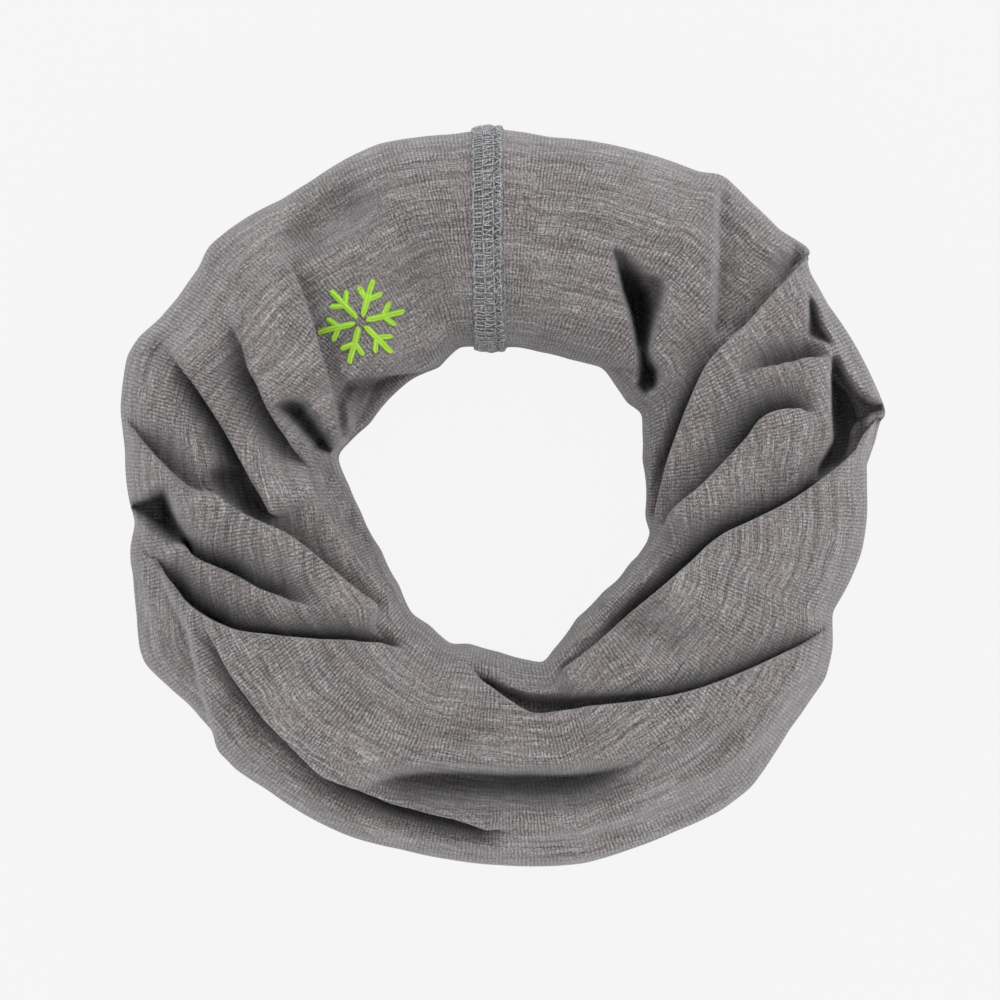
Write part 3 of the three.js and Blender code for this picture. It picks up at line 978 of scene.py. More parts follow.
@dataclass(frozen=True)
class Stitches:
    """Lengths of thread on a surface, each from one place to another.

    Attributes:
        starts: Where each length goes in, as [along, across] in millimetres.
        ends: Where each comes out.
        height: How high the thread's middle line lies above the cloth.
        arch: How much higher it stands halfway.
        steps: The number of points along each.
    """

    starts: np.ndarray
    ends: np.ndarray
    height: float
    arch: float
    steps: int = 7

    def lines(self) -> tuple[np.ndarray, np.ndarray]:
        """Runs each length from its start to its end.

        Returns:
            The [along, across] places of each length's points, and their heights.
        """
        t = np.linspace(0.0, 1.0, self.steps)
        places = self.starts[:, None] + (self.ends - self.starts)[:, None] * t[:, None]
        tips = np.abs(2 * t - 1) > 0.99
        rise = self.height + self.arch * np.sqrt(np.sin(math.pi * t)) - 0.6 * self.height * tips
        return places, np.broadcast_to(rise, places.shape[:2])


@dataclass
class Hem:
    """A turned-up edge of the tube, with two rows of stitching round it.

    Attributes:
        name: Which hem it is.
        tube: The tube that it ends.
        row: The mesh row of the cloth that goes into it.
        outward: 1 where its face looks away from the ring's axis, and -1 where it looks towards it.
        height: How wide the turned-up edge is.
        thickness: How thick the doubled cloth is.
        rows: The heights of the two rows of stitches.
        stitch: The length of one stitch and the gap after it.
        thread: The radius of the sewing thread.
    """

    name: str
    tube: FoldedTube
    row: int
    outward: float
    height: float = 12.4
    thickness: float = 1.5
    rows: dict[str, float] = field(default_factory=lambda: {"lower": 4.2, "upper": 9.8})
    stitch: tuple[float, float] = (2.1, 0.5)
    thread: float = 0.2

    def radius(self, angle: np.ndarray, height: np.ndarray) -> np.ndarray:
        """Works out how far the hem's middle is from the axis: as far as the cloth above, and wavy below.

        Args:
            angle: The angles round the ring, in radians.
            height: The heights above the hem's lower edge.

        Returns:
            The radius at each place.
        """
        rim = self.tube.points[self.row]
        middle = np.interp(angle, self.tube.angles, np.hypot(rim[:, 0], rim[:, 1]), period=2 * math.pi)
        wave = waves(angle, ((0.45, 9, self.outward), (0.35, 14, 2.0), (0.2, 23, 0.0)))
        return middle + wave * (1.0 - height / self.height)

    def face(self, angle: np.ndarray, height: np.ndarray, out: np.ndarray) -> tuple[np.ndarray, np.ndarray]:
        """Finds points off the hem's middle.

        Args:
            angle: Their angles round the ring, in radians.
            height: Their heights above the hem's lower edge.
            out: How far off the middle they are.

        Returns:
            The points and the directions away from the hem's face.
        """
        radius = self.radius(angle, height) + self.outward * out
        direction = np.stack([np.cos(angle), np.sin(angle), np.zeros_like(angle)], axis=-1)
        point = direction * radius[..., None]
        point[..., 2] = height
        return point, direction * self.outward

    def build(self, cloth: bpy.types.Material, thread: bpy.types.Material) -> list[bpy.types.Object]:
        """Makes the hem and its stitching.

        Args:
            cloth: The jersey's finish.
            thread: The sewing thread's finish.

        Returns:
            The hem's band and its two rows of stitches.
        """
        return [self.band(cloth), *(self.stitching(row, level, thread) for row, level in self.rows.items())]

    def band(self, material: bpy.types.Material) -> bpy.types.Object:
        """Makes the doubled cloth, with rounded edges and a shallow groove along each row of stitches.

        Args:
            material: The jersey's finish.

        Returns:
            The band.
        """
        half = self.thickness / 2
        groove, spread, belly, scallop = 0.22, 0.8, 0.12, 0.25
        heights = np.linspace(half, self.height - half, 26)
        pull = sum(groove * np.exp(-(((heights - level) / spread) ** 2)) for level in self.rows.values())
        turn = np.linspace(0.0, math.pi, 7)[1:-1]
        bulge = half + belly * np.sin(math.pi * heights / self.height) - pull
        out = np.concatenate([bulge, half * np.cos(turn), -bulge[::-1], -half * np.cos(turn)])
        rounding = half * np.sin(turn)
        z = np.concatenate([heights, heights[-1] + rounding, heights[::-1], heights[0] - rounding])
        angles = self.tube.angles
        angle, level = np.meshgrid(angles, z, indexing="ij")
        points, _ = self.face(angle, level, out)
        points[..., 2] += scallop * np.sin(17 * angle) * (level / self.height) ** 2
        corners = ROW_FIRST if self.outward > 0 else COLUMN_FIRST
        faces, places = quad_grid(len(angles), len(z), corners, closed=True)
        piece = mesh_piece(f"{self.name}_band", points.reshape(-1, 3), faces)
        girth, section = self.tube.flat[0], np.linspace(0.0, 2 * self.height * MM, len(z) + 1)
        uv = [np.stack([row / len(angles) * girth, section[column]], axis=-1) for row, column in places]
        set_uv(piece, uv)
        return dress(piece, material, "hem_jersey", self.name)

    def stitching(self, row: str, level: float, material: bpy.types.Material) -> bpy.types.Object:
        """Makes one row of stitches.

        Args:
            row: The row's name.
            level: Its height.
            material: The thread's finish.

        Returns:
            The row as one piece.
        """
        girth = 2 * math.pi * self.radius(self.tube.angles, np.full(self.tube.columns, level)).mean()
        count = round(girth / sum(self.stitch))
        filled = self.stitch[0] / sum(self.stitch)
        starts = 2 * math.pi * np.arange(count) / count
        t = np.linspace(0.0, 1.0, 6)
        angle = starts[:, None] + t * filled * 2 * math.pi / count
        sunk, arch = 0.16, 0.22
        rise = self.thickness / 2 - sunk + arch * np.sqrt(np.sin(math.pi * t))
        points, normals = self.face(angle, np.full_like(angle, level), np.broadcast_to(rise, angle.shape))
        piece = thread_piece(f"{self.name}_stitch_{row}_thread", points, normals, self.thread)
        return dress(piece, material, "seam_thread", f"{self.name}_stitch_{row}")


@dataclass
class FlatlockSeam:
    """The seam that closes the tube: two edges lapped and covered with thread.

    Attributes:
        tube: The tube that it closes.
        across: Where its middle lies, to the right of the ring's axis.
        width: The width of the lap.
        lift: How far the lap stands above the cloth.
        drift: How far the seam strays sideways towards the hole.
        pitch: The length of one stitch.
        lines: The places of its needle lines, from its middle.
        thread: The radius of the sewing thread.
        unevenness: How far each end of a cover thread may stray.
        rows: The mesh rows of the cloth that its middle line is measured at.
        gone: The length along the middle line at each of them.
    """

    tube: FoldedTube
    across: float = -3.1
    width: float = 6.8
    lift: float = 0.55
    drift: float = 0.6
    pitch: float = 1.85
    lines: dict[str, tuple[float, ...]] = field(
        default_factory=lambda: {"left": (-2.95,), "centre": (-0.95, 1.1), "right": (2.55,)}
    )
    thread: float = 0.16
    unevenness: float = 0.2
    rows: np.ndarray = field(init=False)
    gone: np.ndarray = field(init=False)

    # The drift dies away between these distances from the ring's axis.
    DRIFT_FADES: ClassVar[tuple[float, float]] = (30.0, 52.0)
    # The groove between the lapped edges.
    GROOVE_DEPTH: ClassVar[float] = 0.3
    GROOVE_PLACE: ClassVar[float] = 1.55
    GROOVE_WIDTH: ClassVar[float] = 0.45

    def __post_init__(self) -> None:
        """Measures the seam's middle line along the cloth, in fine steps."""
        self.rows = np.linspace(1.0, len(self.tube.points) - 2.0, 1600)
        line, _ = self.at_rows(self.rows, np.zeros_like(self.rows))
        steps = np.linalg.norm(np.diff(line, axis=0), axis=1)
        self.gone = np.concatenate([[0.0], np.cumsum(steps)])

    def at_rows(self, row: np.ndarray, across: np.ndarray) -> tuple[np.ndarray, np.ndarray]:
        """Finds places on the cloth beside the seam's middle line.

        Args:
            row: The mesh rows, which may be fractions.
            across: How far each place is to the right of the middle line.

        Returns:
            The points and their outward normals.
        """
        back, _ = self.tube.surface(np.full_like(row, math.pi / 2), row)
        radius = np.hypot(back[..., 0], back[..., 1])
        stray = self.drift * (1.0 - smooth_step(*self.DRIFT_FADES, radius))
        angle = math.pi / 2 - np.arcsin(np.clip((self.across + stray + across) / radius, -1.0, 1.0))
        return self.tube.surface(angle, row)

    def profile(self, across: np.ndarray) -> np.ndarray:
        """Shapes the lap: two flat welts with a groove between the edges.

        Args:
            across: The places across the seam, from its middle.

        Returns:
            How far the lap stands above the cloth at each.
        """
        share = np.abs(across) / (self.width / 2)
        groove = self.GROOVE_DEPTH * np.exp(-(((across - self.GROOVE_PLACE) / self.GROOVE_WIDTH) ** 2))
        return self.lift * np.sqrt(np.clip(1.0 - share**4, 0.0, 1.0)) - groove

    def lay(self, places: np.ndarray, height: np.ndarray) -> tuple[np.ndarray, np.ndarray]:
        """Lays [along, across] places on the seam at heights above it.

        Args:
            places: The places, in millimetres.
            height: The height of each above the lap.

        Returns:
            The points and their outward normals.
        """
        row = np.interp(places[..., 0], self.gone, self.rows)
        point, normal = self.at_rows(row, places[..., 1])
        return point + normal * (height + self.profile(places[..., 1]))[..., None], normal

    def build(self, cloth: bpy.types.Material, thread: bpy.types.Material) -> list[bpy.types.Object]:
        """Makes the lap, the needle lines and the cover thread.

        Args:
            cloth: The lap's finish.
            thread: The thread's finish.

        Returns:
            The pieces of the seam.
        """
        needles = [self.needle_lines(side, at, thread) for side, at in self.lines.items()]
        return [self.lap(cloth), *needles, self.cover(thread)]

    def lap(self, material: bpy.types.Material) -> bpy.types.Object:
        """Makes the lapped edges as one thin closed strip.

        Args:
            material: The lap's finish.

        Returns:
            The lap.
        """
        spacing, under = 0.6, 0.25
        along = np.arange(0.0, self.gone[-1], spacing)
        across = np.linspace(-self.width / 2, self.width / 2, 23)
        s, a = np.meshgrid(along, across, indexing="ij")
        places = np.stack([s, a], axis=-1)
        ripple = 0.06 * np.sin(2 * math.pi * s / self.pitch) * np.cos(a)
        top, _ = self.lay(places, ripple)
        bottom, _ = self.lay(places, -under - self.profile(a))
        section = np.concatenate([top, bottom[:, ::-1]], axis=1)
        rows, columns = section.shape[:2]
        faces, cells = quad_grid(rows, columns, COLUMN_FIRST)
        ends = [list(range(columns)), list(range(rows * columns - 1, (rows - 1) * columns - 1, -1))]
        piece = mesh_piece("seam_lap", section.reshape(-1, 3), [*faces.tolist(), *ends])
        wide = np.linspace(0.0, 2 * self.width * MM, columns + 1)
        uv = [np.stack([wide[column], along[row] * MM], axis=-1) for row, column in cells]
        set_uv(piece, uv, caps=2 * columns)
        return dress(piece, material, "hem_jersey", "seam_overlap")

    def stitch_marks(self) -> np.ndarray:
        """The places along the seam where the needles go in."""
        return np.arange(1.0, self.gone[-1] - self.pitch - 1.0, self.pitch)

    def needle_lines(
        self, side: str, lines: tuple[float, ...], material: bpy.types.Material
    ) -> bpy.types.Object:
        """Makes the needle lines on one side of the seam, stitch by stitch.

        Args:
            side: The side's name.
            lines: How far each line is from the seam's middle.
            material: The thread's finish.

        Returns:
            The lines as one piece.
        """
        marks = self.stitch_marks()
        starts = np.vstack([np.stack([marks, np.full_like(marks, at)], axis=-1) for at in lines])
        starts[:, 1] += 0.12 * np.sin(0.83 * starts[:, 0])
        stitches = Stitches(starts, starts + (self.pitch * 0.96, 0.0), self.thread * 0.7, 0.14)
        points, normals = self.lay(*stitches.lines())
        piece = thread_piece(f"seam_{side}_needle_line", points, normals, self.thread)
        return dress(piece, material, "seam_thread", f"seam_needle_thread_{side}")

    def cover(self, material: bpy.types.Material) -> bpy.types.Object:
        """Makes the cover thread: bars on the left, slanting pairs in the middle, loops on the right.

        Args:
            material: The thread's finish.

        Returns:
            The cover thread as one piece.
        """
        marks = self.stitch_marks()[:-1]
        left, first, second, right = (at for side in self.lines.values() for at in side)
        runs = [
            (0.0, left - 0.2, 0.0, first),
            (0.9, left - 0.1, 0.8, first + 0.1),
            (0.0, left - 0.3, 0.9, left - 0.2),
            (0.1, first, 0.1, second),
            (0.3, first, 1.3, second),
            (1.0, first, 1.0, second - 0.5),
            (0.2, second, 1.1, right),
            (1.1, right + 0.2, 1.75, second + 0.3),
            (0.5, right - 0.4, 1.2, right + 0.3),
        ]
        rng = np.random.default_rng(11)
        starts = np.vstack([np.stack([marks + s, np.full_like(marks, a)], axis=-1) for s, a, _, _ in runs])
        ends = np.vstack([np.stack([marks + s, np.full_like(marks, a)], axis=-1) for _, _, s, a in runs])
        for places in (starts, ends):
            places += rng.uniform(-self.unevenness, self.unevenness, places.shape)
        stitches = Stitches(starts, ends, self.thread * 0.8, 0.2)
        points, normals = self.lay(*stitches.lines())
        piece = thread_piece("seam_cover_lacing", points, normals, self.thread * 0.92)
        return dress(piece, material, "seam_thread", "seam_cover_thread")


@dataclass
class Snowflake:
    """A six-armed snowflake in satin stitch.

    Attributes:
        cloth: The mesh that it is sewn on.
        centre: Its middle, seen from above.
        turn: How far it is turned, in degrees.
        start: How far from the middle the arms start.
        length: How long the arms are.
        barb: How far out the side branches start.
        barb_length: How long the branches are.
        barb_angle: How far they lean from the arm, in degrees.
        barb_gap: How far out along themselves the branches start.
        width: The width of the satin bands.
        barb_width: The width of the branches, as a share of that.
        bulge: How high the satin stands in the middle of an arm and of a branch.
        slant: How far each thread slants.
        pitch: The distance between threads.
        thread: The radius of the thread.
        points: The number of points along each thread.
    """

    cloth: bpy.types.Object
    centre: Point2 = (-29.6, 36.4)
    turn: float = 14.0
    start: float = 1.3
    length: float = 7.8
    barb: float = 4.6
    barb_length: float = 3.0
    barb_angle: float = 50.0
    barb_gap: float = 0.3
    width: float = 1.35
    barb_width: float = 0.85
    bulge: tuple[float, float] = (0.5, 0.42)
    slant: float = 0.12
    pitch: float = 0.2
    thread: float = 0.13
    points: int = 9

    ARMS: ClassVar[int] = 6

    def build(self, material: bpy.types.Material) -> list[bpy.types.Object]:
        """Sews the arms, one piece each.

        Args:
            material: The thread's finish.

        Returns:
            The arms.
        """
        mesh = self.cloth.data
        tree = BVHTree.FromPolygons([v.co for v in mesh.vertices], [p.vertices for p in mesh.polygons])
        return [self.arm(number, tree, material) for number in range(self.ARMS)]

    def arm(self, number: int, tree: BVHTree, material: bpy.types.Material) -> bpy.types.Object:
        """Sews one arm with its two branches.

        Args:
            number: Which arm it is, from 0.
            tree: The cloth's surface.
            material: The thread's finish.

        Returns:
            The arm.
        """
        heading = math.radians(self.turn + 360.0 / self.ARMS * number)
        strokes = [(self.start, self.length, 0.0, 0.0)]
        strokes += [(self.barb, self.barb_length, side * self.barb_angle, side) for side in (-1.0, 1.0)]
        t = np.linspace(-1.0, 1.0, self.points)
        rows, lifts = [], []
        for out, length, lean, side in strokes:
            direction = heading + math.radians(lean)
            along = np.array([math.cos(direction), math.sin(direction)])
            across = np.array([-along[1], along[0]])
            root = np.array(self.centre) + out * np.array([math.cos(heading), math.sin(heading)])
            gone = np.arange(0.0, length, self.pitch) + (self.barb_gap if side else 0.0)
            end_round = np.sqrt(np.clip(1.0 - ((gone - length / 2) / (length / 2 + 0.12)) ** 8, 0.05, 1.0))
            uneven = 1.0 + 0.05 * np.sin(37.0 * gone + number)
            half = self.width / 2 * end_round * uneven * (self.barb_width if side else 1.0)
            line = root + along * (gone[:, None, None] + self.slant * t[:, None])
            line = line + across * (half[:, None] * t)[..., None]
            rows.append(line)
            arch = np.sqrt(1.0 - (0.96 * t) ** 2) * self.bulge[1 if side else 0]
            lifts.append(np.broadcast_to(arch, line.shape[:2]))
        places, lifts = np.vstack(rows), np.vstack(lifts)
        points, normals = self.drape(places, lifts, tree)
        piece = thread_piece(f"snowflake_satin_arm_{number + 1}", points, normals, self.thread)
        return dress(piece, material, "neon_thread", f"snowflake_arm_{number + 1}")

    def drape(self, places: np.ndarray, lifts: np.ndarray, tree: BVHTree) -> tuple[np.ndarray, np.ndarray]:
        """Lowers places onto the cloth.

        Args:
            places: The places from above, as an array of threads, points and coordinates.
            lifts: How far each lies above the cloth.
            tree: The cloth's surface.

        Returns:
            The points and the cloth's normals under them.
        """
        points, normals = np.zeros((*places.shape[:2], 3)), np.zeros((*places.shape[:2], 3))
        down = Vector((0.0, 0.0, -1.0))
        for index in np.ndindex(places.shape[:2]):
            x, y = places[index] * MM
            hit, normal, _, _ = tree.ray_cast(Vector((x, y, 0.2)), down)
            points[index] = np.array(hit) / MM + np.array(normal) * lifts[index]
            normals[index] = normal
        return points, normals


# ---- Finishes --------------------------------------------------------------------------------------


@dataclass
class NodeTree:
    """A node tree under construction, with short ways to add and join nodes.

    Attributes:
        tree: The tree itself.
    """

    tree: bpy.types.NodeTree

    def add(self, kind: str, values: dict | None = None, **settings: object) -> bpy.types.Node:
        """Adds a node.

        Args:
            kind: The node's type, without its ShaderNode prefix.
            values: What its inputs hold: a value, or a socket that feeds it.
            settings: The node's own settings.

        Returns:
            The node.
        """
        node = self.tree.nodes.new(kind if kind.startswith("Node") else f"ShaderNode{kind}")
        for key, value in settings.items():
            setattr(node, key, value)
        for key, value in (values or {}).items():
            socket = node.inputs[key]
            if isinstance(value, bpy.types.NodeSocket):
                self.tree.links.new(value, socket)
            else:
                socket.default_value = value
        return node

    def math(
        self, operation: str, *values: float | bpy.types.NodeSocket, clamp: bool = False
    ) -> bpy.types.NodeSocket:
        """Adds a Math node and returns its result."""
        node = self.add("Math", dict(enumerate(values)), operation=operation, use_clamp=clamp)
        return node.outputs[0]

    def noise(
        self, at: bpy.types.NodeSocket, scale: float, detail: float, roughness: float
    ) -> bpy.types.NodeSocket:
        """Adds a Noise Texture and returns its value."""
        values = {"Vector": at, "Scale": scale, "Detail": detail, "Roughness": roughness}
        return self.add("TexNoise", values).outputs[0]

    def ramp(self, value: bpy.types.NodeSocket, low: float, high: float) -> bpy.types.NodeSocket:
        """A soft step from 0 where the value is low to 1 where it is high."""
        return self.add("MapRange", {0: value, 1: low, 2: high}, interpolation_type="SMOOTHSTEP").outputs[0]

    def scale(self, value: bpy.types.NodeSocket, low: float, high: float) -> bpy.types.NodeSocket:
        """Carries a value from the range 0 to 1 over to the range low to high."""
        return self.add("MapRange", {0: value, 3: low, 4: high}).outputs[0]

    def between(
        self, share: bpy.types.NodeSocket, first: bpy.types.NodeSocket, second: bpy.types.NodeSocket
    ) -> bpy.types.NodeSocket:
        """A value that share takes from the first value to the second."""
        return self.math("ADD", first, self.math("MULTIPLY", share, self.math("SUBTRACT", second, first)))

    def round_ring(self, place: bpy.types.NodeSocket) -> tuple[bpy.types.NodeSocket, bpy.types.NodeSocket]:
        """Turns a place into its angle and its distance from the ring's axis.

        Args:
            place: The place, in metres.

        Returns:
            The angle, in radians from the ring's front, and the distance, in metres.
        """
        parts = self.add("SeparateXYZ", {0: place})
        turn = self.math("ARCTAN2", parts.outputs[0], self.math("MULTIPLY", parts.outputs[1], -1.0))
        level = self.add("CombineXYZ", {0: parts.outputs[0], 1: parts.outputs[1]})
        return turn, self.add("VectorMath", {0: level.outputs[0]}, operation="LENGTH").outputs["Value"]

    def put(self, node: bpy.types.Node, name: str, value: bpy.types.NodeSocket) -> None:
        """Feeds one named input of a node."""
        self.tree.links.new(value, node.inputs[name])

    def blend(
        self,
        factor: bpy.types.NodeSocket,
        first: Colour | bpy.types.NodeSocket,
        second: Colour | bpy.types.NodeSocket,
    ) -> bpy.types.NodeSocket:
        """Adds a colour Mix node and returns its result."""
        return self.add("Mix", {0: factor, 6: first, 7: second}, data_type="RGBA").outputs[2]


def set_constants(node: bpy.types.Node, values: dict[str, float | Colour]) -> None:
    """Sets constants on a node's own inputs."""
    for name, value in values.items():
        node.inputs[name].default_value = value


def new_material(name: str) -> tuple[bpy.types.Material, NodeTree, bpy.types.Node]:
    """Starts a material.

    Args:
        name: The material's name.

    Returns:
        The material, its node tree and its shader.
    """
    made = bpy.data.materials.new(name)
    made.use_nodes = True
    return made, NodeTree(made.node_tree), made.node_tree.nodes["Principled BSDF"]


def new_group(
    name: str, inputs: dict[str, tuple[str, float | None]], outputs: dict[str, str]
) -> tuple[NodeTree, dict[str, bpy.types.NodeSocket], bpy.types.Node]:
    """Starts a shader node group.

    Args:
        name: The group's name.
        inputs: Each input's name, with its socket type and its default value.
        outputs: Each output's name, with its socket type.

    Returns:
        The tree, its input sockets by name and its output node.
    """
    group = bpy.data.node_groups.new(name, "ShaderNodeTree")
    for key, (kind, default) in inputs.items():
        socket = group.interface.new_socket(key, in_out="INPUT", socket_type=f"NodeSocket{kind}")
        if default is not None:
            socket.default_value = default
    for key, kind in outputs.items():
        group.interface.new_socket(key, in_out="OUTPUT", socket_type=f"NodeSocket{kind}")
    tree = NodeTree(group)
    start, end = tree.add("NodeGroupInput"), tree.add("NodeGroupOutput")
    return tree, {key: start.outputs[key] for key in inputs}, end


def melange_group() -> bpy.types.NodeTree:
    """Builds the uneven tone of yarn spun from dark and light wool.

    Returns:
        The group. Place is a point on the ring and Cloth its place on the laid-out cloth, both in metres.
        Streaks and the broader Bands run along the courses, Fibres are the speckle on top, and Warmth
        marks brownish patches.
    """
    tree, given, end = new_group(
        "melange",
        {
            "Place": ("Vector", None),
            "Cloth": ("Vector", None),
            "Length": ("Float", 0.01),
            "Height": ("Float", 0.0007),
        },
        {"Streaks": "Float", "Bands": "Float", "Fibres": "Float", "Warmth": "Float"},
    )
    long_streaks, short_streaks, bands = (1.0, 1.0, 0.0), (0.3, 0.7, 31.0), (3.4, 3.2, 57.0)
    turn, radius = tree.round_ring(given["Place"])
    run = tree.math("MULTIPLY", turn, radius)
    level = tree.add("SeparateXYZ", {0: given["Cloth"]}).outputs[1]
    wander = tree.math("SUBTRACT", tree.noise(given["Place"], 120.0, 2.0, 0.6), 0.5)
    level = tree.math("ADD", level, tree.math("MULTIPLY", wander, 0.003))
    streaks = []
    for long, high, seed in (long_streaks, short_streaks, bands):
        u = tree.math("DIVIDE", run, tree.math("MULTIPLY", given["Length"], long))
        v = tree.math("DIVIDE", level, tree.math("MULTIPLY", given["Height"], high))
        at = tree.add("CombineXYZ", {0: u, 1: v, 2: seed})
        streaks.append(tree.noise(at.outputs[0], 1.0, 3.0, 0.62))
    both = tree.math("ADD", tree.math("MULTIPLY", streaks[0], 0.45), tree.math("MULTIPLY", streaks[1], 0.55))
    tree.put(end, "Streaks", tree.ramp(both, 0.39, 0.61))
    tree.put(end, "Bands", tree.ramp(streaks[2], 0.38, 0.62))
    coarse, fine = (tree.noise(given["Place"], scale, 1.0, 0.6) for scale in (2100.0, 4300.0))
    fibres = tree.math("ADD", tree.math("MULTIPLY", coarse, 0.5), tree.math("MULTIPLY", fine, 0.5))
    tree.put(end, "Fibres", tree.ramp(fibres, 0.36, 0.64))
    tree.put(end, "Warmth", tree.ramp(tree.noise(given["Place"], 170.0, 3.0, 0.6), 0.42, 0.62))
    return tree.tree


def loops_group() -> bpy.types.NodeTree:
    """Builds the face of single jersey: ribs of small V-shaped loops that run across the ring.

    The cloth is gathered towards the hole, so fewer ribs show there. Three counts of ribs fade into each
    other, which keeps the ribs about the same distance apart everywhere.

    Returns:
        The group. Height is the relief of the loops, and GapShade is the painted shade between the ribs,
        stronger in random patches.
    """
    tree, given, end = new_group(
        "jersey_loops",
        {
            "Place": ("Vector", None),
            "Cloth": ("Vector", None),
            "Wale": ("Float", 0.00074),
            "Course": ("Float", 0.00058),
        },
        {"Height": "Float", "GapShade": "Float"},
    )
    full_turn = 2 * math.pi
    turn, radius = tree.round_ring(given["Place"])
    level = tree.add("SeparateXYZ", {0: given["Cloth"]}).outputs[1]
    drift = tree.math("SUBTRACT", tree.noise(given["Place"], 420.0, 3.0, 0.65), 0.5)
    # Random patches where the painted shade between the ribs is stronger.
    rib_shade_patches = tree.ramp(tree.noise(given["Place"], 75.0, 3.0, 0.6), 0.34, 0.62)
    patch = tree.math("SUBTRACT", tree.noise(given["Place"], 90.0, 2.0, 0.5), 0.5)
    zone = tree.math("ADD", radius, tree.math("MULTIPLY", patch, 0.03))
    ribs, halves = [], []
    for count_radius in (0.036, 0.052, 0.070):
        count = tree.math("ROUND", tree.math("DIVIDE", full_turn * count_radius, given["Wale"]))
        phase = tree.math("MULTIPLY", turn, tree.math("DIVIDE", count, full_turn))
        phase = tree.math("ADD", phase, tree.math("MULTIPLY", drift, 1.6))
        half = tree.math("ABSOLUTE", tree.math("SUBTRACT", tree.math("FRACT", phase), 0.5))
        halves.append(half)
        ribs.append(tree.math("COSINE", tree.math("MULTIPLY", half, full_turn)))
    rib, half = ribs[0], halves[0]
    fades = ((0.041, 0.046), (0.058, 0.064))
    for (low, high), next_rib, next_half in zip(fades, ribs[1:], halves[1:]):
        share = tree.ramp(zone, low, high)
        rib = tree.between(share, rib, next_rib)
        half = tree.between(share, half, next_half)
    v = tree.math("ADD", tree.math("DIVIDE", level, given["Course"]), tree.math("MULTIPLY", half, 1.1))
    loop = tree.math("SINE", tree.math("MULTIPLY", v, full_turn))
    height = tree.math("ADD", tree.math("MULTIPLY", rib, 0.42), tree.math("MULTIPLY", loop, 0.05))
    tree.put(end, "Height", tree.math("ADD", height, 0.5))
    # Painted shade in the gaps between the ribs, which darkens the colour there.
    gap_shade = tree.math("MULTIPLY", tree.ramp(rib, 0.3, -0.95), tree.scale(rib_shade_patches, 0.35, 1.0))
    tree.put(end, "GapShade", gap_shade)
    return tree.tree


def twist_group() -> bpy.types.NodeTree:
    """Builds the plies of a twisted sewing thread.

    Returns:
        The group. Cloth is the place round and along the thread, in metres. Plies is their relief, and
        Fuzz the fine speckle of loose fibre.
    """
    tree, given, end = new_group(
        "thread_twist",
        {"Cloth": ("Vector", None), "Ply": ("Float", 0.0004)},
        {"Plies": "Float", "Fuzz": "Float"},
    )
    parts = tree.add("SeparateXYZ", {0: given["Cloth"]})
    slope = tree.math("ADD", parts.outputs[1], tree.math("MULTIPLY", parts.outputs[0], 0.9))
    wave = tree.math("SINE", tree.math("MULTIPLY", tree.math("DIVIDE", slope, given["Ply"]), 2 * math.pi))
    tree.put(end, "Plies", tree.math("ADD", tree.math("MULTIPLY", wave, 0.5), 0.5))
    tree.put(end, "Fuzz", tree.ramp(tree.noise(given["Cloth"], 5200.0, 2.0, 0.7), 0.3, 0.7))
    return tree.tree


@dataclass(frozen=True)
class JerseyFinish:
    """Heather-grey single jersey.

    Attributes:
        name: The material's name.
        dark: The colour of the dark streaks.
        light: The colour of the light streaks.
        warm: The colour of the brownish patches.
        gap: How dark the painted shade in the gaps between the ribs is.
        relief: How deep the loops are, in metres.
        streak: The length and the height of the streaks, in metres.
        warmth: How strongly the brownish patches show.
        speckle: The darkest and the lightest of the single fibres, as shares of the tone.
        bands: The same for the broad bands.
    """

    name: str
    dark: Colour = (0.15, 0.135, 0.132, 1.0)
    light: Colour = (0.388, 0.37, 0.368, 1.0)
    warm: Colour = (0.25, 0.213, 0.203, 1.0)
    gap: float = 0.5
    relief: float = 0.00018
    streak: tuple[float, float] = (0.018, 0.00066)
    warmth: float = 0.45
    speckle: tuple[float, float] = (0.5, 1.5)
    bands: tuple[float, float] = (0.85, 1.15)

    def material(self, groups: dict[str, bpy.types.NodeTree]) -> bpy.types.Material:
        """Builds the material.

        Args:
            groups: The shared groups, by name.

        Returns:
            The material.
        """
        made, tree, shader = new_material(self.name)
        cloth = tree.add("UVMap", uv_map=KNIT_UV).outputs[0]
        place = tree.add("TexCoord").outputs["Object"]
        length, height = self.streak
        values = {"Place": place, "Cloth": cloth}
        melange = tree.add("Group", node_tree=groups["melange"])
        loops = tree.add("Group", node_tree=groups["loops"])
        for node in (melange, loops):
            for name, value in values.items():
                tree.put(node, name, value)
        set_constants(melange, {"Length": length, "Height": height})
        tone = tree.blend(melange.outputs["Streaks"], self.dark, self.light)
        tone = tree.blend(tree.math("MULTIPLY", melange.outputs["Warmth"], self.warmth), tone, self.warm)
        fibres = tree.scale(melange.outputs["Fibres"], *self.speckle)
        speckle = tree.math("MULTIPLY", fibres, tree.scale(melange.outputs["Bands"], *self.bands))
        # The fibre speckle and bands are the yarn's own tone; the gaps between the ribs add painted shade,
        # down to the share gap of the colour.
        shade = tree.math("MULTIPLY", speckle, tree.scale(loops.outputs["GapShade"], 1.1, self.gap))
        grey = tree.add("CombineXYZ", {0: shade, 1: shade, 2: shade}).outputs[0]
        shaded = tree.add("VectorMath", {0: tone, 1: grey}, operation="MULTIPLY")
        tree.put(shader, "Base Color", shaded.outputs[0])
        fuzz = tree.math("MULTIPLY", melange.outputs["Fibres"], 0.6)
        relief = tree.math("ADD", loops.outputs["Height"], fuzz)
        bump = tree.add("Bump", {"Height": relief, "Distance": self.relief, "Strength": 0.9})
        tree.put(shader, "Normal", bump.outputs[0])
        set_constants(
            shader,
            {
                "Roughness": 0.95,
                "Specular IOR Level": 0.12,
                "Sheen Weight": 0.55,
                "Sheen Roughness": 0.55,
                "Sheen Tint": (0.78, 0.78, 0.82, 1.0),
            },
        )
        return made


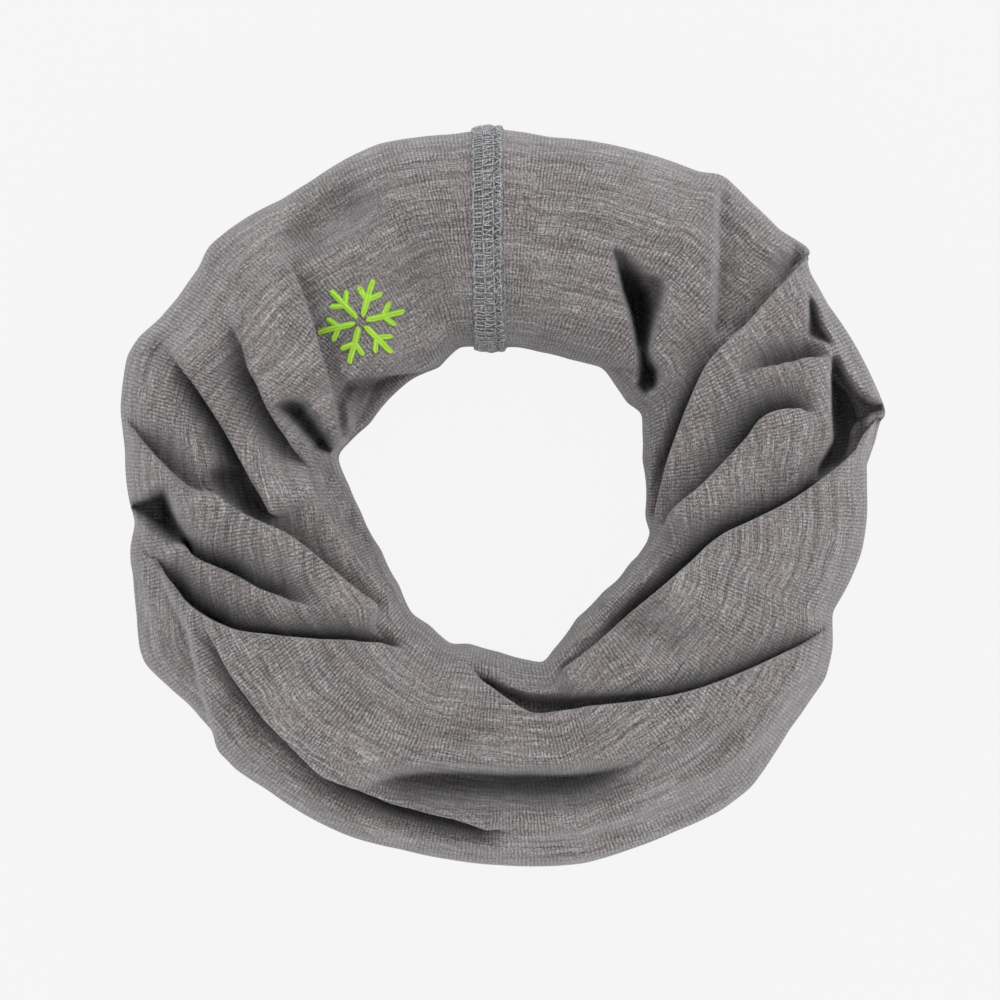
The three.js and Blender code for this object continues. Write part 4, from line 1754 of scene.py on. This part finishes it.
@dataclass(frozen=True)
class ThreadFinish:
    """Twisted polyester thread.

    Attributes:
        name: The material's name.
        colour: Its colour.
        shadow: Its colour between the plies.
        roughness: How dull it is.
        ply: The length of one ply of the twist, in metres.
        uneven: How much its tone varies from place to place.
        relief: How deep the grooves between the plies are, in metres.
    """

    name: str
    colour: Colour
    shadow: Colour
    roughness: float = 0.6
    ply: float = 0.0004
    uneven: float = 0.1
    relief: float = 0.00004

    def material(self, groups: dict[str, bpy.types.NodeTree]) -> bpy.types.Material:
        """Builds the material.

        Args:
            groups: The shared groups, by name.

        Returns:
            The material.
        """
        made, tree, shader = new_material(self.name)
        twist = tree.add("Group", node_tree=groups["twist"])
        tree.put(twist, "Cloth", tree.add("UVMap", uv_map=KNIT_UV).outputs[0])
        set_constants(twist, {"Ply": self.ply})
        mask = tree.math("MULTIPLY", twist.outputs["Plies"], tree.scale(twist.outputs["Fuzz"], 0.75, 1.0))
        place = tree.add("TexCoord").outputs["Object"]
        patches = tree.ramp(tree.noise(place, 2400.0, 1.0, 0.5), 0.36, 0.64)
        patches = tree.scale(patches, 1.0 - self.uneven, 1.0 + self.uneven)
        mask = tree.math("MULTIPLY", mask, patches, clamp=True)
        tree.put(shader, "Base Color", tree.blend(mask, self.shadow, self.colour))
        bump = tree.add("Bump", {"Height": twist.outputs["Plies"], "Distance": self.relief, "Strength": 0.6})
        tree.put(shader, "Normal", bump.outputs[0])
        set_constants(shader, {"Roughness": self.roughness, "Specular IOR Level": 0.3, "Sheen Weight": 0.15})
        return made


# ---- The studio ------------------------------------------------------------------------------------


@dataclass
class Studio:
    """A pale floor, soft light and a camera straight above the ring.

    Attributes:
        view: The width that the camera takes in at the folds.
        aim: The point under the camera.
        distance: The camera's height.
        folds: The height of the folds at which the view is that wide.
        sensor: The width of the camera's sensor.
        floor_half: Half the floor's width.
        floor_glow: How strongly the floor glows.
        sky: How strong the surrounding light is.
        lamp_place: Where the lamp stands, in metres.
        lamp_width: The lamp's width, in metres.
        lamp_power: The lamp's power, in watts.
    """

    view: float = 209.2
    aim: Point2 = (-0.6, -0.8)
    distance: float = 2400.0
    folds: float = 40.0
    sensor: float = 36.0
    floor_half: float = 4000.0
    floor_glow: float = 0.9
    sky: float = 0.85
    lamp_place: tuple[float, float, float] = (0.55, 0.75, 1.4)
    lamp_width: float = 1.2
    lamp_power: float = 6.6

    def build(self) -> None:
        """Makes the floor, the light and the camera."""
        self.floor()
        self.light()
        camera = bpy.data.cameras.new("camera")
        camera.sensor_width = self.sensor
        camera.lens = self.sensor * (self.distance - self.folds) / self.view
        camera.clip_end = 50.0
        holder = bpy.data.objects.new("camera", camera)
        holder.location = Vector((*self.aim, self.distance)) * MM
        bpy.context.scene.collection.objects.link(holder)
        bpy.context.scene.camera = holder

    def floor(self) -> None:
        """Makes the floor, which glows a little so that it stays pale under the ring."""
        half = self.floor_half
        corners = [(-half, -half, 0), (half, -half, 0), (half, half, 0), (-half, half, 0)]
        floor = mesh_piece("floor", np.array(corners), [[0, 1, 2, 3]], smooth=False)
        made, _, shader = new_material("pale_floor")
        set_constants(
            shader,
            {
                "Base Color": (0.02, 0.02, 0.02, 1.0),
                "Roughness": 1.0,
                "Specular IOR Level": 0.0,
                "Emission Color": (1.0, 1.0, 1.0, 1.0),
                "Emission Strength": self.floor_glow,
            },
        )
        floor.data.materials.append(made)

    def light(self) -> None:
        """Makes the soft surrounding light and one large lamp above."""
        world = bpy.data.worlds.new("studio")
        world.use_nodes = True
        background = world.node_tree.nodes["Background"]
        set_constants(background, {"Color": (1.0, 1.0, 1.0, 1.0), "Strength": self.sky})
        bpy.context.scene.world = world
        lamp = bpy.data.lights.new("softbox", "AREA")
        lamp.shape, lamp.size, lamp.energy = "DISK", self.lamp_width, self.lamp_power
        holder = bpy.data.objects.new("softbox", lamp)
        holder.location = self.lamp_place
        holder.rotation_euler = (-Vector(holder.location)).to_track_quat("-Z", "Y").to_euler()
        bpy.context.scene.collection.objects.link(holder)
        bpy.context.scene.view_settings.view_transform = "Standard"


# ---- The assembly ----------------------------------------------------------------------------------


def main() -> None:
    """Builds the gaiter and its studio."""
    logging.basicConfig(level=logging.INFO, format="%(name)s: %(message)s")
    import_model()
    groups = {"melange": melange_group(), "loops": loops_group(), "twist": twist_group()}
    jersey = JerseyFinish("heather_jersey").material(groups)
    trim = JerseyFinish(
        "heather_trim",
        dark=(0.15, 0.141, 0.14, 1.0),
        light=(0.335, 0.323, 0.323, 1.0),
        warm=(0.225, 0.2, 0.194, 1.0),
    ).material(groups)
    sewing = ThreadFinish(
        "grey_sewing_thread",
        colour=(0.68, 0.69, 0.705, 1.0),
        shadow=(0.2, 0.205, 0.215, 1.0),
        uneven=0.7,
    ).material(groups)
    neon = ThreadFinish(
        "neon_embroidery_thread",
        colour=(0.60, 0.93, 0.10, 1.0),
        shadow=(0.34, 0.66, 0.05, 1.0),
        roughness=0.45,
        ply=0.0006,
    ).material(groups)
    Studio().build()
    tube = FoldedTube()
    trims = [
        *Hem("inner_hem", tube, row=0, outward=-1.0).build(trim, sewing),
        *Hem("outer_hem", tube, row=-1, outward=1.0).build(trim, sewing),
        *FlatlockSeam(tube).build(trim, sewing),
    ]
    cloth = tube.build(jersey, trims)
    Snowflake(cloth).build(neon)


if __name__ == "__main__":
    main()
